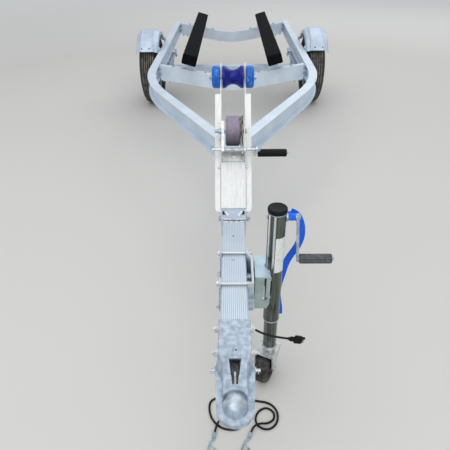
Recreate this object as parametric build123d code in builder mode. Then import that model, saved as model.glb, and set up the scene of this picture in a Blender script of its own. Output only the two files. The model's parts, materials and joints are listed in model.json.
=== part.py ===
from build123d import *
import math
import os

# A single-axle aluminium boat trailer, parked on its tongue jack and its two wheels.
# Millimetres, +Z up, tongue towards -Y. The origin is on the ground, in the centre plane,
# half way along. Stations are measured rearwards from the nose of the coupler.

# Whole trailer
overall_length = 4735.0
deck_over_axle = 194.0
seat_gap = 0.3
running_gap = 0.1

# Tongue tube
tongue_size = 76.2
tongue_wall = 4.0
tongue_corner = 5.0
tongue_front = 176.0
tongue_rear = 1645.0
groove_count = 12
groove_pitch = 5.4
groove_width = 1.8
groove_depth = 0.8

# Side rails: I-beams, bent in once and closing on the tongue
frame_width = 1200.0
rail_height = 101.6
rail_flange = 57.0
rail_web = 5.0
rail_flange_thick = 6.4
bend_station = 2485.0
bend_angle = 27.7
bend_radius = 1250.0
tie_plate_thick = 6.0
tie_plate_length = 210.0

# Crossmembers: channels that dip towards the middle
cross_height = 101.6
cross_flange = 45.0
cross_web = 5.0
cross_flange_thick = 6.0
cross_slope = 11.0
cross_bend_radius = 950.0
cross_mid_station = 2925.0
cross_rear_inset = 80.0
clip_leg = 40.0
clip_thick = 5.0
pad_length = 85.0
pad_thick = 6.0

# Wheels and axle
axle_station = 3545.0
wheel_past_frame = 100.0
tyre_radius = 286.0
tyre_width = 155.0
rim_radius = 152.0
rim_width = 101.0
rim_wall = 3.0
axle_size = 50.8
spindle_radius = 16.0
hub_radius = 38.0
hub_length = 92.0
hub_flange_radius = 70.0
wheel_stud_circle = 50.8
wheel_stud_count = 4

# Leaf springs over the axle
spring_inside = 50.0
spring_width = 44.5
leaf_thick = 7.0
leaf_radius = 3000.0
leaf_halves = (330.0, 235.0, 140.0)
spring_eye_radius = 15.0
spring_bolt_radius = 8.0
hanger_wall = 5.0
hanger_length = 60.0
hanger_gap = 2.0
clamp_plate = 8.0
clamp_rod_radius = 5.0

# Fenders
fender_width = 184.0
fender_radius = 325.0
fender_start = 38.0
fender_wall = 2.5
fender_flat = 100.0
fender_shoulder = 22.0
fender_skirt = 24.0
fender_bracket_angle = 47.0
fender_bracket_width = 40.0

# Bunks: carpeted boards that lean in to the hull
bunk_x = 311.0
bunk_front_station = 2845.0
bunk_length = 1830.0
bunk_width = 98.0
bunk_thick = 48.0
bunk_lean = 16.0
bunk_rise = 40.0
bunk_corner = 9.0
bunk_foot_outer = 465.0
bunk_foot_inner = 182.0
bunk_post_width = 70.0
bunk_bracket_thick = 5.0

# Winch stand: two angles that lean back over the tongue
stand_station = 825.0
stand_lean = 38.0
stand_leg_thick = 3.2
stand_leg_depth = 50.0
stand_leg_flange = 23.0
stand_flange_length = 438.0
stand_web_length = 556.0
saddle_thick = 5.0
saddle_front_station = 768.0
saddle_length = 165.0
saddle_drop = 66.0
stand_foot_corner = 15.0
panel_bottom = 14.0
panel_side_bottom = 50.0
panel_top = 183.0
panel_thick = 3.0
panel_depth = 30.0

# Bow stop
bow_reach = 506.0
bow_back = 10.0
bow_radius = 40.5
bow_waist_radius = 20.0
bow_spool_length = 80.0
bow_flat_length = 29.0
bow_vee_length = 21.0
bow_bell_length = 30.0
bow_shaft_radius = 8.0
bow_play = 2.0

# Winch
gear_module = 3.0
gear_teeth = 35
pinion_teeth = 9
gear_thick = 5.0
gear_x = 29.5
drum_reach = 283.5
winch_rise = 50.0
winch_side_x = 42.0
winch_side_thick = 3.0
winch_lip = 10.0
strap_radius = 52.0
strap_width = 47.0
drum_core_radius = 16.0
drum_cheek_radius = 47.0
drum_cheek_thick = 2.0
drum_left_x = -27.0
winch_shaft_radius = 6.3
crank_shaft_end = 77.0
crank_arm_length = 150.0
crank_arm_angle = 29.5
crank_arm_x = 80.0
crank_arm_width = 25.0
crank_arm_thick = 6.0
crank_grip_length = 112.0
crank_grip_radius = 15.0

# Jack
jack_x = 122.0
jack_station = 515.0
jack_pivot_drop = 45.0
jack_tube_radius = 26.2
jack_tube_wall = 3.2
jack_top = 676.0
jack_tube_bottom = 262.0
jack_cap_radius = 28.0
jack_cap_height = 14.0
jack_leg_radius = 22.4
jack_leg_wall = 3.0
jack_leg_top = 540.0
jack_leg_bottom = 140.0
jack_plate_radius = 50.0
jack_plate_thick = 4.0
jack_box_half = 53.0
jack_box_drop = 80.0
jack_box_outer = 108.0
jack_key_x = 93.0
jack_key_width = 7.0
jack_key_radius = 8.0
jack_boss_radius = 26.0
jack_boss_length = 5.0
jack_spacer_radius = 14.0
jack_clamp_thick = 6.0
jack_clamp_outer = 57.0
jack_clamp_past = 15.0
jack_clamp_bolts = (-87.0, 59.0)
jack_bar_width = 26.0
jack_bolt_radius = 5.0
jack_bolt_end = 9.0
jack_crank_height = 657.0
jack_crank_radius = 8.0
jack_crank_drop = 149.0
jack_arm_top_x = 176.0
jack_arm_width = 8.0
jack_grip_start = 196.0
jack_grip_length = 97.0
jack_grip_radius = 15.0
jack_grip_pin = 5.0

# Tie strap on the jack
band_back = 28.0
band_width = 22.0
band_thick = 2.0
band_loop_x = 152.0

# Caster under the jack
caster_yaw = -25.0
caster_trail = 32.0
caster_wheel_radius = 60.0
caster_wheel_width = 50.0
caster_fork_inside = 60.0
caster_fork_thick = 4.0
caster_fork_width = 46.0
caster_fork_top = 132.0
caster_pin_radius = 6.0

# Coupler
ball_station = 45.0
coupler_wall = 3.5
coupler_rear = 290.0
coupler_taper_rear = 182.0
coupler_taper_front = 146.0
coupler_taper_slide = 34.0
coupler_neck_half = 29.0
coupler_neck_front = 60.0
coupler_side_drop = 62.0
coupler_flange_drop = 23.0
dome_radius = 28.5
dome_drop = 24.0
dome_groove = 1.5
nose_radius = 42.5
nose_lip = 10.0
wing_half = 49.0
wing_station = 150.0
wing_foot = 6.0
wing_run_out = 3.0
ball_radius = 25.4
slot_rear = 162.0
slot_front = 89.0
slot_rear_half = 15.0
slot_front_half = 7.0
coupler_bolt_stations = (277.0, 198.0)
coupler_bolt_drop = 18.0
coupler_bolt_radius = 6.0
coupler_head_radius = 11.0
coupler_pin_station = 152.0
coupler_pin_radius = 4.0
coupler_pin_past = 12.0
latch_half = 12.0
latch_tip_half = 5.0
latch_front = 81.0
latch_rear = 170.0
latch_drop = 20.0
latch_thick = 7.0
latch_jaw_drop = 44.0
latch_rod_radius = 3.5

# Cables and wiring lead
cable_diameter = 7.0
cable_eye_station = 408.0
cable_eye_x = 28.0
cable_eye_drop = 22.0
cable_eye_wire = 4.0
hook_wire = 5.0
ferrule_radius = 5.6
ferrule_length = 18.0
lead_diameter = 7.0
lead_station = 460.0
lead_x = 14.0
grommet_radius = 9.0

# Tail lamps
lamp_inside = 130.0
lamp_width = 150.0
lamp_height = 68.0
lamp_depth = 26.0

# Places worked out from the sizes
half_width = frame_width / 2
deck_height = tyre_radius + deck_over_axle
cross_rear_station = overall_length - cross_rear_inset
wheel_x = half_width + wheel_past_frame
spring_x = half_width - spring_inside
lamp_x = half_width - lamp_inside
rail_bottom = deck_height - rail_height
tongue_half = tongue_size / 2
tongue_bottom = deck_height - tongue_size
web_inner_x = half_width - rail_flange / 2 - rail_web / 2
flange_inner_x = half_width - rail_flange
axle_y = axle_station - overall_length / 2
axle_height = tyre_radius
stand_web_x = tongue_half + saddle_thick
gear_distance = gear_module * (gear_teeth + pinion_teeth) / 2
crank_reach = drum_reach - gear_distance
slope = math.radians(cross_slope)
lean = math.radians(stand_lean)

os.makedirs("parts", exist_ok=True)


def at(station):
    """The y of a station measured from the nose."""
    return station - overall_length / 2


def across(station):
    """An upright plane across the trailer at a station: local x is X, local y is Z."""
    return Plane(origin=(0, at(station), 0), x_dir=(1, 0, 0), z_dir=(0, -1, 0))


def along(x):
    """An upright plane along the trailer: local x is Y, local y is Z, normal +X."""
    return Plane(origin=(x, 0, 0), x_dir=(0, 1, 0), z_dir=(1, 0, 0))


def save(piece, name):
    """Label a finished piece and write its file."""
    piece.part.label = name
    export_step(piece.part, f"parts/{name}.step")


# Stand frame: local x is X, local y runs up the leaning stand, local z stands out in front
stand_plane = Plane(
    origin=(0, at(stand_station), deck_height),
    x_dir=(1, 0, 0),
    z_dir=(0, -math.cos(lean), math.sin(lean)),
)


def stand_point(x, reach, rise):
    """A point given across, up the stand and out in front of it."""
    return stand_plane.from_local_coords(Vector(x, reach, rise))


def stand_side(x, reach=0.0, rise=0.0):
    """A plane square to X at a point of the stand: local x runs up it, local y out in front."""
    return Plane(origin=stand_point(x, reach, rise), x_dir=stand_plane.y_dir, z_dir=(1, 0, 0))


# Tongue: a grooved square tube, drilled for the coupler bolts
with BuildPart() as tongue:
    with BuildSketch(across(tongue_rear)):
        with Locations((0, deck_height - tongue_half)):
            RectangleRounded(tongue_size, tongue_size, tongue_corner)
            Rectangle(tongue_size - 2 * tongue_wall, tongue_size - 2 * tongue_wall, mode=Mode.SUBTRACT)
        with Locations((0, deck_height - groove_depth / 2)):
            with GridLocations(groove_pitch, 0, groove_count, 1):
                Rectangle(groove_width, groove_depth, mode=Mode.SUBTRACT)
    extrude(amount=tongue_rear - tongue_front)
    for bolt_station in coupler_bolt_stations:
        with BuildSketch(along(-tongue_half)):
            with Locations((at(bolt_station), deck_height - coupler_bolt_drop)):
                Circle(coupler_bolt_radius + seat_gap)
        extrude(amount=tongue_size, mode=Mode.SUBTRACT)
save(tongue, "tongue_tube")


# Side rails: an I-section carried round one wide bend, its tip cut square to the tongue's side
def rail_line(side):
    """Web line of a rail: rear end, bend corner and a point past the tongue's side."""
    x = half_width - rail_flange / 2
    bend = math.radians(bend_angle)
    corner = bend_station + rail_flange / 2 * math.tan(bend / 2)
    run = (x + rail_flange) / math.tan(bend)
    return [
        (side * x, at(overall_length)),
        (side * x, at(corner)),
        (-side * rail_flange, at(corner - run)),
    ]


for side, hand in ((-1, "left"), (1, "right")):
    with BuildPart() as rail:
        with BuildLine(Plane.XY.offset(deck_height - rail_height / 2)) as rail_path:
            FilletPolyline(*rail_line(side), radius=bend_radius - rail_flange / 2)
        with BuildSketch(Plane(origin=rail_path.line @ 0, x_dir=(1, 0, 0), z_dir=rail_path.line % 0)):
            Rectangle(rail_web, rail_height)
            with GridLocations(0, rail_height - rail_flange_thick, 1, 2):
                Rectangle(rail_flange, rail_flange_thick)
        sweep(path=rail_path.wires()[0])
        split(bisect_by=Plane.YZ.offset(side * tongue_half), keep=Keep.TOP if side > 0 else Keep.BOTTOM)
    save(rail, f"rail_{hand}")

# Tie plate: bolted under the rail tips, behind the stand, with a spacer up to the tongue
tip_station = bend_station - (half_width - tongue_half) / math.tan(math.radians(bend_angle))
tie_front = tip_station + 20
with BuildPart() as tie_plate:
    with BuildSketch(Plane.XY.offset(rail_bottom)):
        spread = tie_plate_length * math.tan(math.radians(bend_angle))
        with BuildLine():
            Polyline(
                (-tongue_half - 8, at(tie_front)),
                (tongue_half + 8, at(tie_front)),
                (tongue_half + 8 + spread, at(tie_front + tie_plate_length)),
                (-tongue_half - 8 - spread, at(tie_front + tie_plate_length)),
                close=True,
            )
        make_face()
    extrude(amount=-tie_plate_thick)
    with BuildSketch(Plane.XY.offset(rail_bottom)):
        with Locations((0, at(tie_front + tie_plate_length / 2))):
            Rectangle(tongue_size - 6, tie_plate_length - 20)
    extrude(amount=tongue_bottom - rail_bottom)
save(tie_plate, "tongue_tie_plate")


# Crossmembers: channel, web to the front, notched over the rails' lower flanges
cross_end_top = deck_height - rail_flange_thick - seat_gap


def cross_top(x):
    """Height of a crossmember's top face on its straight slope."""
    return cross_end_top - (web_inner_x - abs(x)) * math.tan(slope)


def cross_bottom(x):
    """Height of a crossmember's underside on its straight slope."""
    return cross_top(x) - cross_height / math.cos(slope)


for front, place in ((cross_mid_station, "mid"), (cross_rear_station, "rear")):
    with BuildPart() as cross:
        centre_line = cross_height / 2 / math.cos(slope)
        reach = web_inner_x + 30
        with BuildLine(across(front)) as cross_path:
            FilletPolyline(
                (-reach, cross_top(reach) - centre_line),
                (0, cross_top(0) - centre_line),
                (reach, cross_top(reach) - centre_line),
                radius=cross_bend_radius,
            )
        with BuildSketch(Plane(origin=cross_path.line @ 0, x_dir=(0, 1, 0), z_dir=cross_path.line % 0)):
            with Locations((cross_web / 2, 0)):
                Rectangle(cross_web, cross_height)
            with Locations((cross_flange / 2, 0)):
                with GridLocations(0, cross_height - cross_flange_thick, 1, 2):
                    Rectangle(cross_flange, cross_flange_thick)
        sweep(path=cross_path.wires()[0])
        split(bisect_by=Plane.YZ.offset(web_inner_x), keep=Keep.BOTTOM)
        split(bisect_by=Plane.YZ.offset(-web_inner_x), keep=Keep.TOP)
        notch_top = rail_bottom + rail_flange_thick + seat_gap
        with BuildSketch(across(front - 1)):
            for side in (-1, 1):
                with Locations((side * (flange_inner_x - seat_gap), notch_top)):
                    notch_align = (Align.MAX if side < 0 else Align.MIN, Align.MAX)
                    Rectangle(rail_flange, cross_height, align=notch_align)
        extrude(amount=-(cross_flange + 2), mode=Mode.SUBTRACT)
    save(cross, f"crossmember_{place}")

# Clip angles in front of each crossmember's ends, and pads under the ends
with BuildPart() as clips:
    clip_low = rail_bottom + rail_flange_thick + seat_gap
    clip_high = deck_height - rail_flange_thick - 12
    for front in (cross_mid_station, cross_rear_station):
        for side in (-1, 1):
            corner_align = Align.MAX if side > 0 else Align.MIN
            with BuildSketch(Plane.XY.offset(clip_low)):
                with Locations((side * web_inner_x, at(front))):
                    Rectangle(clip_leg, clip_thick, align=(corner_align, Align.MAX))
                    Rectangle(clip_thick, clip_leg, align=(corner_align, Align.MAX))
            extrude(amount=clip_high - clip_low)
with BuildPart() as pads:
    for front in (cross_mid_station, cross_rear_station):
        for side in (-1, 1):
            outer = flange_inner_x - seat_gap
            inner = outer - pad_length
            with BuildSketch(across(front)):
                with BuildLine():
                    Polyline(
                        (side * outer, cross_bottom(outer)),
                        (side * inner, cross_bottom(inner)),
                        (side * inner, cross_bottom(inner) - pad_thick),
                        (side * outer, cross_bottom(outer) - pad_thick),
                        close=True,
                    )
                make_face()
            extrude(amount=-cross_flange)
save(clips, "frame_clips")
save(pads, "frame_pads")

# Axle: square tube between the spring seats, a turned spindle at each end
hub_inner_x = wheel_x - hub_length * 0.72
with BuildPart() as axle:
    with BuildSketch(along(-hub_inner_x + 14)):
        with Locations((axle_y, axle_height)):
            RectangleRounded(axle_size, axle_size, 6)
    extrude(amount=2 * (hub_inner_x - 14))
    with BuildSketch(along(-hub_inner_x - hub_length + 14)):
        with Locations((axle_y, axle_height)):
            Circle(spindle_radius)
    extrude(amount=2 * (hub_inner_x + hub_length - 14))
save(axle, "axle_beam")


def leaf_rise(offset):
    """How far a leaf has curved up at a distance from its middle."""
    return leaf_radius - math.sqrt(leaf_radius**2 - offset**2)


# Leaf springs: three leaves with an eye at the front and a plain slipper end at the rear
spring_seat = axle_height + axle_size / 2 + 0.2
spring_top = spring_seat + len(leaf_halves) * leaf_thick
eye_y = axle_y - leaf_halves[0]
eye_z = spring_top - leaf_thick + leaf_rise(leaf_halves[0]) + spring_eye_radius - 1
slipper_y = axle_y + leaf_halves[0] - 22
with BuildPart() as springs:
    for side in (-1, 1):
        with BuildSketch(along(side * spring_x - spring_width / 2)):
            for level, half in enumerate(reversed(leaf_halves)):
                low = spring_seat + level * leaf_thick
                high = low + leaf_thick
                rise = leaf_rise(half)
                with BuildLine():
                    ThreePointArc(
                        (axle_y - half, low + rise), (axle_y, low), (axle_y + half, low + rise)
                    )
                    Line((axle_y + half, low + rise), (axle_y + half, high + rise))
                    ThreePointArc(
                        (axle_y + half, high + rise), (axle_y, high), (axle_y - half, high + rise)
                    )
                    Line((axle_y - half, high + rise), (axle_y - half, low + rise))
                make_face()
            with Locations((eye_y, eye_z)):
                Circle(spring_eye_radius)
                Circle(spring_bolt_radius + seat_gap, mode=Mode.SUBTRACT)
        extrude(amount=spring_width)
save(springs, "leaf_springs")

# Spring hangers: folded brackets under the rails, each with its cross bolt
slipper_bolt_z = spring_top - leaf_thick + leaf_rise(leaf_halves[0] - 22) - spring_bolt_radius - 2
hanger_inside = spring_width / 2 + hanger_gap
with BuildPart() as hangers:
    for side in (-1, 1):
        for bolt_y, bolt_z in ((eye_y, eye_z), (slipper_y, slipper_bolt_z)):
            hanger_low = min(eye_z, slipper_bolt_z) - 20
            hanger_y = bolt_y + hanger_length / 2
            with BuildSketch(Plane(origin=(0, hanger_y, 0), x_dir=(1, 0, 0), z_dir=(0, -1, 0))):
                with Locations((side * spring_x, rail_bottom)):
                    Rectangle(
                        2 * (hanger_inside + hanger_wall), rail_bottom - hanger_low,
                        align=(Align.CENTER, Align.MAX),
                    )
                with Locations((side * spring_x, rail_bottom - 4)):
                    Rectangle(
                        2 * hanger_inside, rail_bottom - hanger_low, align=(Align.CENTER, Align.MAX),
                        mode=Mode.SUBTRACT,
                    )
                with Locations((side * (half_width - 4), rail_bottom)):
                    Rectangle(60, 4, align=(Align.MAX if side > 0 else Align.MIN, Align.MAX))
            extrude(amount=hanger_length)
            with BuildSketch(along(side * spring_x - hanger_inside - hanger_wall - 8)):
                with Locations((bolt_y, bolt_z)):
                    Circle(spring_bolt_radius)
            extrude(amount=2 * (hanger_inside + hanger_wall + 8))
save(hangers, "spring_hangers")

# Spring clamps: a plate over the leaves, a plate under the beam and four rods
with BuildPart() as clamps:
    plate_half_x = spring_width / 2 + 2 * clamp_rod_radius + 4
    plate_half_y = axle_size / 2 + 2 * clamp_rod_radius + 4
    beam_low = axle_height - axle_size / 2 - clamp_plate
    for side in (-1, 1):
        centre = (side * spring_x, axle_y)
        for low in (beam_low, spring_top + 0.5):
            with BuildSketch(Plane.XY.offset(low)):
                with Locations(centre):
                    RectangleRounded(2 * plate_half_x, 2 * plate_half_y, 5)
            extrude(amount=clamp_plate)
        with BuildSketch(Plane.XY.offset(beam_low - 10)):
            with Locations(centre):
                with GridLocations(
                    spring_width + 2 * clamp_rod_radius + 4, axle_size + 2 * clamp_rod_radius + 4, 2, 2
                ):
                    Circle(clamp_rod_radius)
        extrude(amount=spring_top + clamp_plate + 6 - beam_low + 10)
save(clamps, "spring_clamps")


# Wheels: hub, rim and tyre turned about the axle line
def wheel_plane(side):
    """Half-section plane of a wheel: local x runs outboard, local y is the radius upwards."""
    return Plane(
        origin=(side * wheel_x, axle_y, axle_height), x_dir=(side, 0, 0), z_dir=(0, -side, 0)
    )


def wheel_axis():
    """The line that both wheels turn about."""
    return Axis((0, axle_y, axle_height), (1, 0, 0))


for side, hand in ((-1, "left"), (1, "right")):
    hub_in = hub_inner_x - wheel_x
    hub_out = hub_in + hub_length
    bore = spindle_radius + running_gap
    disc_x = 8.0
    with BuildPart() as hub:
        with BuildSketch(wheel_plane(side)):
            with BuildLine():
                Polyline(
                    (hub_in, bore), (hub_in, hub_radius - 4), (disc_x - 12, hub_radius),
                    (disc_x - 8, hub_flange_radius), (disc_x, hub_flange_radius),
                    (disc_x, hub_radius - 8), (hub_out - 12, 25), (hub_out, 22), (hub_out, 0),
                    (hub_out - 10, 0), (hub_out - 10, bore), close=True,
                )
            make_face()
        revolve(axis=wheel_axis())
        stud_plane = Plane(
            origin=(side * (wheel_x + disc_x), axle_y, axle_height), x_dir=(0, 1, 0), z_dir=(side, 0, 0)
        )
        with BuildSketch(stud_plane):
            with PolarLocations(wheel_stud_circle, wheel_stud_count, start_angle=45):
                Circle(6)
        extrude(amount=20)
    save(hub, f"hub_{hand}")

    half_rim = rim_width / 2
    well = rim_radius - 26
    with BuildPart() as rim:
        with BuildSketch(wheel_plane(side)):
            with BuildLine():
                Polyline(
                    (-half_rim - 4, rim_radius + 14), (-half_rim, rim_radius + 14),
                    (-half_rim, rim_radius), (-28, rim_radius - 1), (-20, well), (22, well),
                    (30, rim_radius - 1), (half_rim, rim_radius), (half_rim, rim_radius + 14),
                    (half_rim + 4, rim_radius + 14), (half_rim + 4, rim_radius - rim_wall),
                    (32, rim_radius - rim_wall - 1), (24, well - rim_wall),
                    (-22, well - rim_wall), (-30, rim_radius - rim_wall - 1),
                    (-half_rim - 4, rim_radius - rim_wall), close=True,
                )
            make_face()
            with BuildLine():
                Polyline(
                    (disc_x + seat_gap, hub_radius - 7), (disc_x + seat_gap, hub_flange_radius + 4),
                    (18, 92), (12, well - rim_wall + 0.5), (16, well - rim_wall + 0.5),
                    (22, 92), (disc_x + 4, hub_flange_radius + 2), (disc_x + 4, hub_radius - 7),
                    close=True,
                )
            make_face()
        revolve(axis=wheel_axis())
        with BuildSketch(stud_plane):
            with PolarLocations(wheel_stud_circle, wheel_stud_count, start_angle=45):
                Circle(6 + seat_gap)
            with PolarLocations(hub_flange_radius + 32, 8):
                SlotOverall(26, 13, rotation=90)
        extrude(amount=30, both=True, mode=Mode.SUBTRACT)
    save(rim, f"rim_{hand}")

    half_tyre = tyre_width / 2
    bead = half_rim - seat_gap
    tyre_bore = rim_radius + seat_gap
    with BuildPart() as tyre:
        with BuildSketch(wheel_plane(side)):
            with BuildLine():
                Line((-bead, tyre_bore), (bead, tyre_bore))
                Line((bead, tyre_bore), (bead, tyre_bore + 15))
                ThreePointArc(
                    (bead, tyre_bore + 15), (half_tyre, rim_radius + 62), (half_tyre - 14, tyre_radius - 18)
                )
                ThreePointArc(
                    (half_tyre - 14, tyre_radius - 18), (half_tyre - 20, tyre_radius - 9),
                    (half_tyre - 30, tyre_radius - 4),
                )
                ThreePointArc(
                    (half_tyre - 30, tyre_radius - 4), (0, tyre_radius), (30 - half_tyre, tyre_radius - 4)
                )
                ThreePointArc(
                    (30 - half_tyre, tyre_radius - 4), (20 - half_tyre, tyre_radius - 9),
                    (14 - half_tyre, tyre_radius - 18),
                )
                ThreePointArc(
                    (14 - half_tyre, tyre_radius - 18), (-half_tyre, rim_radius + 62),
                    (-bead, tyre_bore + 15),
                )
                Line((-bead, tyre_bore + 15), (-bead, tyre_bore))
            make_face()
        revolve(axis=wheel_axis())
    save(tyre, f"tyre_{hand}")

    # Fender: a folded sheet turned about the axle line over the upper part of the tyre
    half_fender = fender_width / 2
    half_flat = fender_flat / 2
    skirt = fender_radius - fender_shoulder - fender_skirt
    shoulder = fender_radius - fender_shoulder
    wall = fender_wall
    with BuildPart() as fender:
        with BuildSketch(wheel_plane(side)):
            with BuildLine():
                Polyline(
                    (-half_fender, skirt), (-half_fender, shoulder), (-half_flat, fender_radius),
                    (half_flat, fender_radius), (half_fender, shoulder), (half_fender, skirt),
                    (half_fender - wall, skirt), (half_fender - wall, shoulder - wall / 2),
                    (half_flat - wall / 2, fender_radius - wall),
                    (wall / 2 - half_flat, fender_radius - wall),
                    (wall - half_fender, shoulder - wall / 2), (wall - half_fender, skirt), close=True,
                )
            make_face()
        revolve(axis=wheel_axis(), revolution_arc=180 - 2 * fender_start)
    fender.part = fender.part.rotate(wheel_axis(), fender_start - 90)
    save(fender, f"fender_{hand}")

# Fender brackets: upright bars between the rails' flange edges and the fenders' inner skirts
bracket_run = math.radians(fender_bracket_angle)
skirt_middle = fender_radius - fender_shoulder - fender_skirt / 2
with BuildPart() as fender_brackets:
    bar_top = axle_height + skirt_middle * math.sin(bracket_run) + 8
    bar_width = wheel_x - fender_width / 2 - half_width
    for side in (-1, 1):
        for end in (-1, 1):
            bar_y = axle_y + end * skirt_middle * math.cos(bracket_run)
            with BuildSketch(Plane.XY.offset(rail_bottom)):
                with Locations((side * half_width, bar_y)):
                    Rectangle(
                        bar_width, fender_bracket_width,
                        align=(Align.MIN if side > 0 else Align.MAX, Align.CENTER),
                    )
            extrude(amount=bar_top - rail_bottom)
save(fender_brackets, "fender_brackets")

# Bunks: long boards, leaning in, each carried by a bracket on both crossmembers
bunk_tilt = math.radians(bunk_lean)
bunk_centre_z = deck_height + bunk_rise


def bunk_under(x):
    """Height of a bunk's underside at a distance from the centre plane."""
    middle = bunk_centre_z - bunk_thick / 2 / math.cos(bunk_tilt)
    return middle + (x - bunk_x) * math.tan(bunk_tilt)


for side, hand in ((-1, "left"), (1, "right")):
    with BuildPart() as bunk:
        bunk_plane = Plane(
            origin=(side * bunk_x, at(bunk_front_station), bunk_centre_z),
            x_dir=(math.cos(bunk_tilt), 0, side * math.sin(bunk_tilt)),
            z_dir=(0, -1, 0),
        )
        with BuildSketch(bunk_plane):
            RectangleRounded(bunk_width, bunk_thick, bunk_corner)
        extrude(amount=-bunk_length)
    save(bunk, f"bunk_{hand}")

with BuildPart() as bunk_brackets:
    plate = bunk_bracket_thick
    post_in = bunk_x - bunk_post_width / 2
    post_out = bunk_x + bunk_post_width / 2
    for front in (cross_mid_station, cross_rear_station):
        for side in (-1, 1):
            with BuildSketch(across(front)):
                with BuildLine():
                    Polyline(
                        (side * bunk_foot_inner, cross_top(bunk_foot_inner)),
                        (side * bunk_foot_outer, cross_top(bunk_foot_outer)),
                        (side * bunk_foot_outer, cross_top(bunk_foot_outer) + plate),
                        (side * bunk_foot_inner, cross_top(bunk_foot_inner) + plate),
                        close=True,
                    )
                make_face()
                with BuildLine():
                    Polyline(
                        (side * post_in, bunk_under(post_in) - plate),
                        (side * post_out, bunk_under(post_out) - plate),
                        (side * post_out, bunk_under(post_out)),
                        (side * post_in, bunk_under(post_in)),
                        close=True,
                    )
                make_face()
            extrude(amount=-cross_flange)
            with BuildSketch(across(front + cross_flange / 2 - plate / 2)):
                with BuildLine():
                    Polyline(
                        (side * post_in, cross_top(post_in)),
                        (side * post_out, cross_top(post_out)),
                        (side * post_out, bunk_under(post_out)),
                        (side * post_in, bunk_under(post_in)),
                        close=True,
                    )
                make_face()
            extrude(amount=-plate)
save(bunk_brackets, "bunk_brackets")

# Winch stand saddle: a folded plate over the tongue
with BuildPart() as saddle:
    with BuildSketch(across(saddle_front_station + saddle_length)):
        with Locations((0, deck_height + saddle_thick)):
            Rectangle(2 * stand_web_x, saddle_drop + saddle_thick, align=(Align.CENTER, Align.MAX))
        with Locations((0, deck_height)):
            Rectangle(tongue_size, saddle_drop + 1, align=(Align.CENTER, Align.MAX), mode=Mode.SUBTRACT)
    extrude(amount=saddle_length)
save(saddle, "stand_saddle")

# Stand legs: two leaning angles, flanges out, webs carried on past them to the bow stop
with BuildPart() as legs:
    for side in (-1, 1):
        web_plane_x = stand_web_x if side > 0 else -stand_web_x - stand_leg_thick
        with BuildSketch(stand_side(web_plane_x)):
            Rectangle(stand_web_length, stand_leg_depth, align=(Align.MIN, Align.MAX))
            with Locations((bow_reach, -bow_back)):
                Circle(bow_shaft_radius + 0.2, mode=Mode.SUBTRACT)
        extrude(amount=stand_leg_thick)
        with BuildSketch(along(web_plane_x)):
            with Locations((at(stand_station) - 10, deck_height + 12)):
                RectangleRounded(110, 72, 8, align=(Align.MIN, Align.MAX))
        extrude(amount=stand_leg_thick)
        with BuildSketch(stand_plane):
            foot = side * (stand_web_x + stand_leg_flange)
            corner = side * (stand_web_x + stand_leg_flange - stand_foot_corner)
            with BuildLine():
                Polyline(
                    (foot, stand_foot_corner), (foot, stand_flange_length),
                    (side * stand_web_x, stand_flange_length), (side * stand_web_x, 0), (corner, 0),
                )
                RadiusArc((corner, 0), (foot, stand_foot_corner), side * -stand_foot_corner)
            make_face()
        extrude(amount=-stand_leg_thick)
save(legs, "stand_legs")

# Front panel of the stand: a shallow channel between the webs
with BuildPart() as panel:
    with BuildSketch(stand_plane.offset(-panel_thick)):
        with Locations((0, panel_bottom)):
            Rectangle(2 * stand_web_x, panel_top - panel_bottom, align=(Align.CENTER, Align.MIN))
    extrude(amount=-panel_thick)
    with BuildSketch(stand_plane.offset(-2 * panel_thick)):
        for side in (-1, 1):
            with Locations((side * (stand_web_x - panel_thick / 2), panel_side_bottom)):
                Rectangle(panel_thick, panel_top - panel_side_bottom, align=(Align.CENTER, Align.MIN))
    extrude(amount=panel_thick - panel_depth)
save(panel, "stand_panel")

# Bow stop shaft, and three rollers that turn on it
bow_axis_point = stand_point(0, bow_reach, -bow_back)
bow_axis = Axis(tuple(bow_axis_point), (1, 0, 0))
web_outside = stand_web_x + stand_leg_thick
bow_half = bow_spool_length / 2
bell_start = web_outside + bow_play
bell_end = bell_start + bow_bell_length
with BuildPart() as bow_shaft:
    with BuildSketch(stand_side(-bell_end - 9, bow_reach, -bow_back)):
        Circle(bow_shaft_radius)
    extrude(amount=2 * (bell_end + 9))
save(bow_shaft, "bow_shaft")

bow_section_plane = Plane(origin=tuple(bow_axis_point), x_dir=(1, 0, 0), z_dir=(0, -1, 0))
roller_bore = bow_shaft_radius + running_gap
flat_half = bow_flat_length / 2
vee_end = flat_half + bow_vee_length
with BuildPart() as spool:
    with BuildSketch(bow_section_plane):
        with BuildLine():
            Polyline(
                (-bow_half, roller_bore), (-bow_half, bow_radius - 2), (2 - bow_half, bow_radius),
                (-vee_end, bow_radius), (-flat_half, bow_waist_radius), (flat_half, bow_waist_radius),
                (vee_end, bow_radius), (bow_half - 2, bow_radius), (bow_half, bow_radius - 2),
                (bow_half, roller_bore), close=True,
            )
        make_face()
    revolve(axis=bow_axis)
save(spool, "bow_spool")

with BuildPart() as bells:
    with BuildSketch(bow_section_plane):
        for side in (-1, 1):
            with BuildLine():
                Polyline(
                    (side * bell_start, roller_bore), (side * bell_start, bow_radius - 2),
                    (side * (bell_start + 2), bow_radius), (side * (bell_end - 8), bow_radius),
                    (side * (bell_end - 2), bow_radius - 4), (side * bell_end, bow_radius - 10),
                    (side * bell_end, roller_bore), close=True,
                )
            make_face()
    revolve(axis=bow_axis)
save(bells, "bow_end_rollers")

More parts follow.
